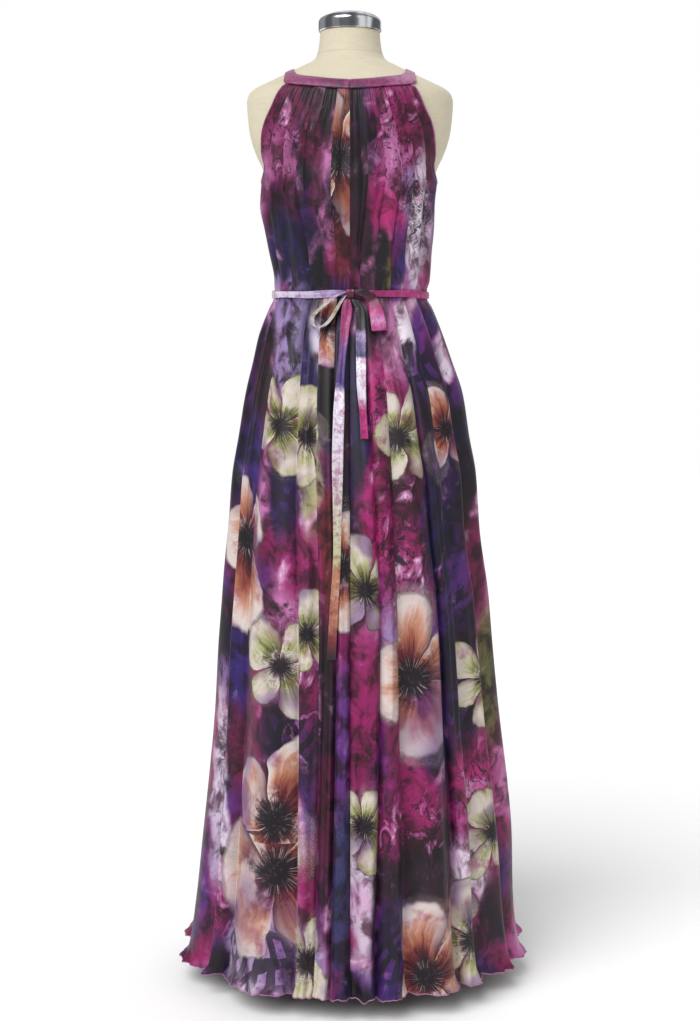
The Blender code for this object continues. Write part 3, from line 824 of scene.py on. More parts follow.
def relief(name, angle, height, place):
    """How far a panel stands out from its smooth section: folds, gathers, creases and waves."""
    gathers = PANELS[name][4]
    swing = 1 + 0.10 * np.sin(height / 97 + 2.1 * np.floor(place)) * np.sin(np.pi * (place % 1))
    out = fold_shape(name, place) * smooth(OPENING_ROWS, height, 1) * swing
    uneven = 0.75 + 0.25 * np.sin(place * 5.3 + 1.0) + 0.15 * np.sin(place * 11.9)
    gather = 0.5 * np.cos(2 * np.pi * place * gathers)
    fine = 0.22 * np.cos(2 * np.pi * place * gathers * 2.6 + 1.7 * np.sin(place * 3.1))
    near_band = eased((height - 1285) / 55)
    out += (gather * uneven + fine * near_band) * smooth(OPENING_ROWS, height, 2)
    out += creases(name, place, height)
    ripple = np.sin(place * 14.5 + 1.3 * np.sin(height / 140) + 1.2 * np.sin(place * 1.7))
    out += 0.9 * ripple * eased((1000 - height) / 500)
    near_belt = np.exp(-(((height - KNOT_HEIGHT) / 26) ** 2))
    pinch = np.sin(place * 19 + 2.4 * np.sin(place * 2.3)) - 1
    tight = np.exp(-(((height - KNOT_HEIGHT) / 10) ** 2))
    return (out + 0.7 * near_belt * pinch) * (1 - 0.85 * tight)


def waved_hem(points, distance):
    """The curled edge of the hem, as waves along the cloth that fade a little way up."""
    height = points[..., 2]
    near = np.exp(-(((height - HEM_HEIGHT) / 13) ** 2))
    wave = np.sin(distance / 3.7 + 1.6 * np.sin(distance / 29)) * (0.7 + 0.3 * np.sin(distance / 41))
    wave += 0.45 * np.sin(distance / 2.1 + 2.0 * np.sin(distance / 17))
    outward = points * (1, 1, 0)
    outward /= np.linalg.norm(outward, axis=-1, keepdims=True)
    points = points + outward * (2.6 * wave * near)[..., None]
    points[..., 2] += near * (1.6 + 1.5 * np.sin(distance / 6.3 + np.sin(distance / 23)))
    return points


def run_along(points):
    """The distance along each row of points."""
    steps = np.linalg.norm(np.diff(points, axis=1), axis=2)
    return np.concatenate([np.zeros((len(points), 1)), np.cumsum(steps, axis=1)], axis=1)


def panel_surface(name):
    """A panel's points and its flat map in metres."""
    angle, height, place = panel_points(name)
    tuck = eased(1 - (height[-1] - height - 1.5) / 5)
    out = relief(name, angle, height, place) * (1 - 0.8 * tuck) - 2.6 * tuck
    points = dress_points(angle, height, out)
    distance = run_along(points)
    if name == "back_left":
        distance -= distance[:, -1:]
    if name == "front":
        middle = distance.shape[1] // 2
        distance -= distance[:, middle:middle + 1]
    for edge, inner in ((0, 1), (-1, -2)):
        step = points[:, inner] - points[:, edge]
        step /= np.linalg.norm(step, axis=1, keepdims=True)
        points[:, edge] += step * SEAM_GAP / 2
    points = waved_hem(points, distance)
    flat = np.stack([distance, points[..., 2]], axis=-1) * MM
    return points, flat


def parted(name, points, flat):
    """A panel's points and print map, parted at its folds, where the print jumps by the hidden cloth."""
    folds, fine = len(PANELS[name][3]), PANELS[name][6]
    strip = np.repeat(np.arange(folds), fine + 1)
    columns = np.arange(len(strip)) - strip
    hidden = np.cumsum(np.resize(HIDDEN_CLOTH, folds))[strip]
    points, flat = points[:, columns], flat[:, columns]
    loose = 0.4 + 0.6 * eased((KNOT_HEIGHT + 4 - points[..., 2]) / 8)
    across = flat[..., 0] + PANEL_START[name] + hidden * loose
    return points, np.stack([across, flat[..., 1]], axis=-1), strip


def smoothed(mesh):
    mesh.polygons.foreach_set("use_smooth", [True] * len(mesh.polygons))


def add_piece(name, shape, finish, nodes=(), wall=0.0):
    """A named piece from a bmesh in metres, with its finish and what it stands for."""
    mesh = bpy.data.meshes.new(name)
    shape.to_mesh(mesh)
    shape.free()
    smoothed(mesh)
    piece = bpy.data.objects.new(name, mesh)
    mesh.materials.append(finish)
    bpy.context.scene.collection.objects.link(piece)
    if wall:
        modifier = piece.modifiers.new("wall", "SOLIDIFY")
        modifier.thickness = wall * MM
        modifier.offset = 0.0
    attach(piece, "root")
    if nodes:
        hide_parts(*nodes)
    return piece


def laid_cloth(points, flat, closed=False):
    """A bmesh grid laid on rows of points in millimetres, with its flat map."""
    rows, columns = points.shape[:2]
    shape = bmesh.new()
    bmesh.ops.create_grid(shape, x_segments=columns - 1, y_segments=rows - 1, size=0.5)
    shape.verts.index_update()
    spots = [
        (round((vertex.co.y + 0.5) * (rows - 1)), round((vertex.co.x + 0.5) * (columns - 1)))
        for vertex in shape.verts
    ]
    cloth_map = shape.loops.layers.uv.new("cloth")
    flat_rows = flat.tolist()
    for face in shape.faces:
        for loop in face.loops:
            row, column = spots[loop.vert.index]
            loop[cloth_map].uv = flat_rows[row][column]
    point_rows = (points * MM).tolist()
    for vertex, (row, column) in zip(shape.verts, spots):
        vertex.co = point_rows[row][column]
    if closed:
        bmesh.ops.remove_doubles(shape, verts=shape.verts[:], dist=1e-6)
    return shape


def tube_shape(lines, radius, resolution=2):
    """A bmesh of round tubes with closed ends along lines of points in millimetres."""
    curve = bpy.data.curves.new("tube", "CURVE")
    curve.dimensions = "3D"
    curve.bevel_depth = radius * MM
    curve.bevel_resolution = resolution
    curve.use_fill_caps = True
    for line in lines:
        spline = curve.splines.new("POLY")
        spline.points.add(len(line) - 1)
        for point, place in zip(spline.points, line):
            point.co = (*(np.asarray(place) * MM), 1)
    draft = bpy.data.objects.new("tube", curve)
    bpy.context.scene.collection.objects.link(draft)
    depsgraph = bpy.context.evaluated_depsgraph_get()
    mesh = bpy.data.meshes.new_from_object(draft.evaluated_get(depsgraph))
    shape = bmesh.new()
    shape.from_mesh(mesh)
    bmesh.ops.recalc_face_normals(shape, faces=shape.faces[:])
    bpy.data.objects.remove(draft, do_unlink=True)
    bpy.data.meshes.remove(mesh)
    bpy.data.curves.remove(curve)
    return shape


def turned(rows, steps, lean=0.0):
    """A bmesh turned about an upright axis from heights and radii in millimetres."""
    shape = bmesh.new()
    heights, radii = [row[0] for row in rows], [row[1] for row in rows]
    line = [shape.verts.new((0, lean * MM, heights[0] * MM))]
    line += [shape.verts.new((r * MM, lean * MM, h * MM)) for h, r in zip(heights, radii)]
    line.append(shape.verts.new((0, lean * MM, heights[-1] * MM)))
    edges = [shape.edges.new(pair) for pair in zip(line, line[1:])]
    bmesh.ops.spin(
        shape,
        geom=line + edges,
        cent=(0, lean * MM, 0),
        axis=(0, 0, 1),
        angle=2 * math.pi,
        steps=steps,
        use_merge=True,
    )
    bmesh.ops.remove_doubles(shape, verts=shape.verts[:], dist=1e-6)
    bmesh.ops.recalc_face_normals(shape, faces=shape.faces[:])
    return shape


def form_shape():
    """The dress form, a turned skin drawn out to its oval sections."""
    heights = np.concatenate([
        np.linspace(FORM_BOTTOM, 810, 8),
        np.arange(820, 1330, 10),
        np.arange(1330, 1436, 3),
        [1436],
    ])
    shape = turned([(height, 100) for height in heights], 128)
    skin = [vertex for vertex in shape.verts if math.hypot(vertex.co.x, vertex.co.y) > 1e-6]
    angle = np.degrees([math.atan2(vertex.co.x, -vertex.co.y) for vertex in skin])
    height = np.array([vertex.co.z for vertex in skin]) / MM
    for vertex, place in zip(skin, (form_surface(angle, height) * MM).tolist()):
        vertex.co = place
    for vertex in shape.verts:
        if abs(vertex.co.x) < 1e-9 and abs(vertex.co.y) < 1e-9 and vertex.co.z > 1:
            vertex.co.y = FORM_ROWS[-1][4] * MM
    return shape


def band_points(share, out=0.0):
    """Rows of the neck band's middle surface, open in a notch at centre back."""
    share = np.asarray(share)[:, None]
    gap = SEAM_GAP + share * (BAND_NOTCH - SEAM_GAP)
    first = np.degrees(gap / 2 / 112)
    angle = first + (360 - 2 * first) * np.linspace(0, 1, 321)[None, :]
    place = folded(angle)
    low, high = smooth(BAND_ROWS, place, 1), smooth(BAND_ROWS, place, 3)
    low_ease = smooth(BAND_ROWS, place, 2)
    ease = low_ease + share * (BAND_TOP_EASE - low_ease)
    crown = 0.55 * np.sin(np.pi * share) - 0.3 * np.exp(-(((share - 0.13) / 0.05) ** 2))
    crown = crown - 0.3 * np.exp(-(((share - 0.87) / 0.05) ** 2))
    ripple = 0.18 * np.sin(np.radians(angle) * 60 + 4 * share) * (1 - share)
    return form_points(angle, low + share * (high - low), ease + crown + ripple + out)


def stitches(line, pitch, length, radius):
    """A bmesh of small stitches that follow a line of points in millimetres."""
    line = np.asarray(line)
    distance = np.concatenate([[0], np.cumsum(np.linalg.norm(np.diff(line, axis=0), axis=1))])
    shape = bmesh.new()
    for start in np.arange(pitch / 2, distance[-1], pitch):
        middle = Vector([np.interp(start, distance, line[:, axis]) for axis in range(3)])
        ahead = Vector([np.interp(start + 0.5, distance, line[:, axis]) for axis in range(3)])
        turn = (ahead - middle).to_track_quat("Z", "Y").to_matrix().to_4x4()
        size = Matrix.Diagonal((radius * MM, radius * MM, length / 2 * MM, 1))
        bmesh.ops.create_uvsphere(
            shape,
            u_segments=6,
            v_segments=5,
            radius=1,
            matrix=Matrix.Translation(middle * MM) @ turn @ size,
        )
    return shape


def binding_line(back, back_edge, front, front_edge):
    """The middle of an armhole's binding, along the edges of two panels."""
    first = len(back) - ARMHOLE_STEPS
    last = len(back) - 2
    edge = list(back[last:first:-1, back_edge])
    edge.append((back[first, back_edge] + front[first, front_edge]) / 2)
    edge.extend(front[first + 1:last + 1, front_edge])
    edge = np.array(edge)
    inside = np.concatenate([
        back[last:first - 1:-1, 18 if back_edge == 0 else -19],
        front[first + 1:last + 1, 18 if front_edge == 0 else -19],
    ])
    away = edge - inside
    away[last - first] = (0, 0, 1)
    along = np.gradient(edge, axis=0)
    along /= np.linalg.norm(along, axis=1, keepdims=True)
    away -= along * np.sum(away * along, axis=1, keepdims=True)
    away /= np.linalg.norm(away, axis=1, keepdims=True)
    for _ in range(3):
        away[1:-1] = (away[:-2] + away[1:-1] + away[2:]) / 3
    away /= np.linalg.norm(away, axis=1, keepdims=True)
    line = edge + away * (BINDING_RADIUS - 0.2)
    for tip, after in ((0, 1), (-1, -2)):
        step = line[after] - line[tip]
        line[tip] += step / np.linalg.norm(step) * 1.2
    return line


def belt_points():
    """The belt's middle surface, a narrow tie in two soft folds round the gathered waist."""
    crest = 0.55 * max(fold[3] for panel in PANELS.values() for fold in panel[3])
    out = crest * smooth(OPENING_ROWS, np.array(KNOT_HEIGHT), 1) + BELT_OUT
    angle = np.linspace(0, 360, 361)[None, :]
    share = np.linspace(0, 1, 11)[:, None]
    section = dress_points(angle, np.array(BELT_LOW - 1.5) + 0 * angle, out + 0 * angle)
    turn = np.radians(angle)
    pleat = 0.3 * np.cos(2 * np.pi * (share * 2 + 0.12 * np.sin(2 * turn + 1)))
    hollow = -0.5 * np.abs(2 * share - 1) ** 3
    across = section[..., :2] / np.linalg.norm(section[..., :2], axis=-1, keepdims=True)
    flat = section[..., :2] + across * (pleat + hollow)[..., None]
    away = 1 - np.exp(-((folded(angle) / 9) ** 2))
    height = BELT_LOW + share * (BELT_HIGH - BELT_LOW)
    sway = away * (0.9 * np.sin(turn * 3 + 0.6) + 0.6 * np.sin(turn * 7 + 2.0) - 0.8)
    narrow = 1 - 0.25 * (1 - away) - 0.10 * away * np.sin(turn * 5)
    height = KNOT_HEIGHT + (height + 0.5 - KNOT_HEIGHT) * narrow + sway
    return np.concatenate([flat, height[..., None]], axis=-1)


def touch(trees, middle, width, height):
    """The depth at which a strip of this width would touch the back of the cloth."""
    deepest = 0.0
    for place in np.linspace(middle - width / 2, middle + width / 2, 5):
        for tree in trees:
            spot = tree.ray_cast(Vector((place * MM, -1, height * MM)), Vector((0, 1, 0)))[0]
            if spot:
                deepest = min(deepest, spot.y / MM)
    return deepest


def tail_points(trees, rows):
    """The middle surface of a hanging tail, which lies on the outer side of the skirt."""
    rising = sorted((row[1], row[0], row[2]) for row in rows)
    low, high = rising[0][0], rising[-1][0]
    heights = np.linspace(low, high, round((high - low) / 4) + 1)
    middle, width = smooth(rising, heights, 1), smooth(rising, heights, 2)
    depth = np.array([touch(trees, *spot) for spot in zip(middle, width, heights)])
    reach = 3
    padded = np.pad(depth, reach, mode="edge")
    depth = np.min([padded[shift:shift + len(depth)] for shift in range(2 * reach + 1)], axis=0)
    for _ in range(6):
        depth[1:-1] = (depth[:-2] + depth[1:-1] + depth[2:]) / 3
    root = np.clip(1 - (high - heights) / 30, 0, 1)
    depth -= 1.0 + 3.2 * root
    side = np.linspace(-1, 1, 9)[None, :]
    curl = 0.10 * np.sin(heights / 37)[:, None]
    across = middle[:, None] + side * width[:, None] / 2
    crease = 0.9 * np.exp(-(((side - 0.25 * np.sin(heights / 90)[:, None]) / 0.22) ** 2))
    out = crease + 1.1 * np.abs(side) ** 3 * (0.5 + 0.5 * np.sin(heights / 61)[:, None])
    out = out + width[:, None] * curl * side * (1 - root[:, None])
    return np.stack([across, depth[:, None] - np.abs(out), heights[:, None] + 0 * across], axis=-1)


def loop_points(trees, rows):
    """The middle surface of a loop of the bow."""
    table = []
    for number, (middle, out, height, width, tilt) in enumerate(rows):
        depth = touch(trees, middle, width, height) - out
        turn = math.radians(tilt or 0)
        side = LOOP_LEAN if tilt is None else (math.cos(turn), 0, math.sin(turn))
        table.append((number, middle, depth, height, width, *side))
    places = np.linspace(0, len(rows) - 1, 8 * (len(rows) - 1) + 1)
    path = np.stack([smooth(table, places, column) for column in (1, 2, 3)], axis=-1)
    width = smooth(table, places, 4)
    side = np.stack([smooth(table, places, column) for column in (5, 6, 7)], axis=-1)
    side /= np.linalg.norm(side, axis=1, keepdims=True)
    along = np.gradient(path, axis=0)
    normal = np.cross(side, along)
    normal /= np.linalg.norm(normal, axis=1, keepdims=True)
    share = np.linspace(-1, 1, 9)[None, :, None]
    cup = 0.5 * (1 - share ** 2)
    return path[:, None] + side[:, None] * width[:, None, None] / 2 * share - normal[:, None] * cup


def strip_map(points):
    """The flat map in metres of a strip: its width across and its length down."""
    down = run_along(np.swapaxes(points, 0, 1)).T
    return np.stack([run_along(points), down], axis=-1) * MM


def knot_shape(depth):
    """The knot, a small wrapped block with soft edges and slanting creases."""
    shape = bmesh.new()
    place = Matrix.Translation((0, depth, KNOT_HEIGHT)) @ Matrix.Diagonal((*KNOT_SIZE, 1))
    bmesh.ops.create_cube(shape, size=1, matrix=place)
    bmesh.ops.bevel(
        shape,
        geom=shape.edges[:],
        offset=3.2,
        segments=5,
        profile=0.5,
        affect="EDGES",
        material=-1,
    )
    bmesh.ops.subdivide_edges(shape, edges=shape.edges[:], cuts=2, use_grid_fill=True)
    bmesh.ops.smooth_vert(shape, verts=shape.verts[:], factor=0.5, use_axis_x=True, use_axis_y=True, use_axis_z=True)
    shape.normal_update()
    for vertex in shape.verts:
        slant = vertex.co.x * 0.9 + (vertex.co.z - KNOT_HEIGHT) * 0.5
        vertex.co -= vertex.normal * 0.35 * (1 + math.sin(slant * 1.5))
    bmesh.ops.scale(shape, vec=(MM, MM, MM), verts=shape.verts[:])
    return shape


def dye(name):
    """A dye's colour as linear red, green and blue."""
    code = DYES[name].lstrip("#")
    levels = np.array([int(code[start:start + 2], 16) for start in (0, 2, 4)]) / 255
    return np.where(levels <= 0.04045, levels / 12.92, ((levels + 0.055) / 1.055) ** 2.4)


def drifted(flat, seed, steps, amounts):
    """How far each place of the cloth is drawn aside as the dyes bleed, in millimetres."""
    rows = []
    for row in flat:
        places = [Vector((u * steps[0], v * steps[1], seed)) for u, v in row]
        rows.append([tuple(noise.noise_vector(place))[:2] for place in places])
    return np.array(rows) * amounts


def outer_spot(name, points, middle, level):
    """The row and column of the place on the outer side of a panel that is nearest to a spot."""
    hidden = points[..., 1] < 0 if name == "front" else points[..., 1] > 0
    gap = np.hypot(points[..., 0] - middle, points[..., 2] - level) + 1e4 * hidden
    return np.unravel_index(np.argmin(gap), gap.shape)


def wash_field(name, points, flat, strips, clouds):
    """The ground colour of the print: soft clouds of dye over a mixed ground, cut at the folds."""
    rough = drifted(flat, 3.0, (22, 14), (10, 26)) + drifted(flat, 8.0, (70, 50), (5, 10))
    across = points[..., 0] + rough[..., 0]
    height = points[..., 2] + rough[..., 1]
    blend = drifted(flat, 15.0, (7, 6), (1, 1))
    mixed = ("indigo", "plum", "purple", "mulberry", "magenta", "lilac_pink")
    level = np.clip(0.5 + 1.1 * blend[..., 0] + 0.3 * blend[..., 1], 0, 1) * (len(mixed) - 1)
    ground = np.array([dye(name) for name in mixed])
    spots = range(len(mixed))
    colour = np.stack([np.interp(level, spots, ground[:, part]) for part in range(3)], axis=-1)
    weight = np.full(across.shape, 0.05)
    total = colour * weight[..., None]
    for middle, level, reach, rise, tint in clouds:
        own = strips[outer_spot(name, points, middle, level)[1]]
        far = np.abs((across - middle) / reach) ** 4 + np.abs((height - level) / rise) ** 2.6
        share = np.exp(-1.6 * far) * np.where(strips == own, 1.0, 0.55 if reach > 24 else 0.12)
        weight = weight + share
        total = total + share[..., None] * dye(tint)
    return total / weight[..., None]


def zone(points, rows):
    """How far each place lies inside the zones of a table, from 0 to 1."""
    inside = np.zeros(points.shape[:2])
    for middle, level, reach, rise in rows:
        far = ((points[..., 0] - middle) / reach) ** 2 + ((points[..., 2] - level) / rise) ** 2
        inside = np.maximum(inside, np.exp(-1.1 * far * far))
    return inside


def ring_field(name, points, flat, corners, rows):
    """The distances of each face's corners from the middles of the nearest zone's two rings."""
    nearest = np.full(len(corners), 1e9)
    rings = np.zeros(corners.shape)
    for number, (middle, level, reach, rise) in enumerate(rows):
        centre = flat[outer_spot(name, points, middle, level)]
        gap = np.linalg.norm(corners.mean(axis=1) - centre, axis=-1)
        turn = 2.4 * number + 0.7
        ends = [centre + 0.075 * np.array([math.cos(t), math.sin(t)]) for t in (turn, turn + 1.9)]
        far = np.stack([np.linalg.norm(corners - end, axis=-1) for end in ends], axis=-1)
        rings = np.where((gap < nearest)[:, None, None], far, rings)
        nearest = np.minimum(gap, nearest)
    return rings


def bloom_field(name, points, flat, corners, strips, layer):
    """Each corner's own position in the nearest flower of a layer, its mask and its own number."""
    best = np.full(len(corners), 1.15)
    field = np.zeros(corners.shape[:2] + (4,))
    for number, (panel, middle, level, radius, turn, kind, spread) in enumerate(BLOOMS):
        if panel != name or kind != layer:
            continue
        spot = outer_spot(name, points, middle, level)
        own = spot[1] // (PANELS[name][6] + 1)
        local = (corners - flat[spot]) / (radius * MM)
        angle = math.radians(turn)
        x = local[..., 0] * math.cos(angle) + local[..., 1] * math.sin(angle)
        y = local[..., 1] * math.cos(angle) - local[..., 0] * math.sin(angle)
        far = np.hypot(x, y).mean(axis=1)
        nearer = (far < best) & (np.abs(strips - own) <= spread)
        best = np.where(nearer, far, best)
        values = np.stack([x, y, 1 + 0 * x, 0.07 * number + 0 * x], axis=-1)
        field = np.where(nearer[:, None, None], values, field)
    return field


def lay_print(piece, name, points, flat):
    """The print's map and colour fields on a panel, with a cut at each fold."""
    mesh, fine = piece.data, PANELS[name][6]
    corners = np.empty(len(mesh.loops), dtype=int)
    mesh.loops.foreach_get("vertex_index", corners)
    row, column = np.divmod(corners, points.shape[1])
    strip = column.reshape(-1, 4).min(axis=1) // fine
    column = column + np.repeat(strip, 4)
    points, flat, strips = parted(name, points, flat)
    spots = flat[row, column]
    mesh.uv_layers["cloth"].data.foreach_set("uv", spots.ravel())
    spots = spots.reshape(-1, 4, 2)

    clouds, inks, laces, curls = FRONT_PRINT if name == "front" else BACK_PRINT
    if name != "front":
        way = 1 if name == "back_right" else -1
        clouds, inks, laces, curls = (
            [row for row in rows if row[0] * way >= 0] for rows in (clouds, inks, laces, curls)
        )
    rings = ring_field(name, points, flat, spots, curls).reshape(-1, 2)
    wash = wash_field(name, points, flat, strips, clouds)[row, column]
    marks = np.stack([zone(points, zones) for zones in (inks, curls, laces)], axis=-1)[row, column]
    fields = {
        "wash": np.concatenate([wash, rings[:, :1]], axis=-1),
        "marks": np.concatenate([marks, rings[:, 1:]], axis=-1),
        "bloom_1": bloom_field(name, points, flat, spots, strip, 1),
        "bloom_2": bloom_field(name, points, flat, spots, strip, 2),
    }
    for field, values in fields.items():
        layer = mesh.attributes.new(field, "FLOAT_COLOR", "CORNER")
        layer.data.foreach_set("color", values.ravel())


class Finish:
    """A node material that is put together with short calls."""

    def __init__(self, name, **sockets):
        self.material = bpy.data.materials.new(name)
        self.material.use_nodes = True
        self.tree = self.material.node_tree
        self.shader = self.tree.nodes["Principled BSDF"]
        for socket, value in sockets.items():
            self.shader.inputs[socket.replace("_", " ")].default_value = value

    def join(self, value, socket):
        if isinstance(value, bpy.types.NodeSocket):
            self.tree.links.new(value, socket)
        elif isinstance(value, str):
            socket.default_value = (*dye(value), 1)
        else:
            socket.default_value = value

    def node(self, kind, **settings):
        node = self.tree.nodes.new(kind)
        for setting, value in settings.items():
            setattr(node, setting, value)
        return node

    def math(self, operation, first, second=0.0, clamp=False):
        node = self.node("ShaderNodeMath", operation=operation, use_clamp=clamp)
        self.join(first, node.inputs[0])
        self.join(second, node.inputs[1])
        return node.outputs[0]

    def mix(self, share, low, high, way="MIX"):
        node = self.node("ShaderNodeMix", data_type="RGBA", blend_type=way)
        for value, spot in ((share, 0), (low, 6), (high, 7)):
            self.join(value, node.inputs[spot])
        return node.outputs[2]

    def fade(self, value, low, high, bottom=0.0, top=1.0):
        """A share that rises softly as a value goes from low to high."""
        node = self.node("ShaderNodeMapRange", interpolation_type="SMOOTHSTEP")
        for item, spot in ((value, 0), (low, 1), (high, 2), (bottom, 3), (top, 4)):
            self.join(item, node.inputs[spot])
        return node.outputs[0]

    def steps(self, value, stops):
        """A run of colours, from places and dyes."""
        node = self.node("ShaderNodeValToRGB")
        self.join(value, node.inputs[0])
        stretch = node.color_ramp
        while len(stretch.elements) < len(stops):
            stretch.elements.new(0.5)
        for element, (place, name) in zip(stretch.elements, stops):
            element.position = place
            element.color = (*dye(name), 1)
        return node.outputs[0]

    def noise(self, place, scale, detail=3.0, roughness=0.5, distortion=0.0):
        node = self.node("ShaderNodeTexNoise")
        self.join(place, node.inputs["Vector"])
        node.inputs["Scale"].default_value = scale
        node.inputs["Detail"].default_value = detail
        node.inputs["Roughness"].default_value = roughness
        node.inputs["Distortion"].default_value = distortion
        return node.outputs[0]

    def wave(self, place, scale, kind="BANDS", direction="X", distortion=0.0, detail=1.0):
        node = self.node("ShaderNodeTexWave", wave_type=kind)
        if kind == "BANDS":
            node.bands_direction = direction
        self.join(place, node.inputs["Vector"])
        node.inputs["Scale"].default_value = scale
        node.inputs["Distortion"].default_value = distortion
        node.inputs["Detail"].default_value = detail
        return node.outputs["Fac"]

    def stretched(self, place, sizes, shift=(0, 0, 0)):
        node = self.node("ShaderNodeMapping")
        self.join(place, node.inputs["Vector"])
        node.inputs["Scale"].default_value = sizes
        node.inputs["Location"].default_value = shift
        return node.outputs[0]

    def tilted(self, place, angle):
        node = self.node("ShaderNodeMapping")
        self.join(place, node.inputs["Vector"])
        node.inputs["Rotation"].default_value = (0, 0, math.radians(angle))
        return node.outputs[0]

    def cloth_map(self):
        return self.node("ShaderNodeUVMap", uv_map="cloth").outputs[0]

    def object_place(self):
        return self.node("ShaderNodeTexCoord").outputs["Object"]

    def field(self, name):
        """A colour field's three parts, its colour and its fourth part."""
        source = self.node("ShaderNodeAttribute", attribute_name=name)
        parts = self.node("ShaderNodeSeparateXYZ")
        self.join(source.outputs["Vector"], parts.inputs[0])
        return parts.outputs, source.outputs["Color"], source.outputs["Alpha"]

    def parts(self, place):
        node = self.node("ShaderNodeSeparateXYZ")
        self.join(place, node.inputs[0])
        return node.outputs

    def together(self, x, y, z=0.0):
        node = self.node("ShaderNodeCombineXYZ")
        for value, socket in zip((x, y, z), node.inputs):
            self.join(value, socket)
        return node.outputs[0]

    def colour(self, value):
        self.join(value, self.shader.inputs["Base Color"])

    def rough(self, value):
        self.join(value, self.shader.inputs["Roughness"])

    def bump(self, height, strength, distance):
        node = self.node("ShaderNodeBump")
        self.join(height, node.inputs["Height"])
        node.inputs["Strength"].default_value = strength
        node.inputs["Distance"].default_value = distance
        self.tree.links.new(node.outputs[0], self.shader.inputs["Normal"])

    def weave(self, place, threads, strength):
        """The crossing threads of a cloth as a low bump."""
        warp = self.wave(place, threads, direction="X")
        weft = self.wave(place, threads, direction="Y")
        slub = self.noise(place, threads * 2, detail=2)
        height = self.math("ADD", self.math("MULTIPLY", warp, weft), slub)
        self.bump(height, strength, 0.0003)
        return slub


def net_lines(finish, place, scale, low, high):
    """The threads of a fine irregular net."""
    net = finish.node("ShaderNodeTexVoronoi", feature="DISTANCE_TO_EDGE")
    finish.join(place, net.inputs["Vector"])
    net.inputs["Scale"].default_value = scale
    return finish.fade(net.outputs["Distance"], high, low)


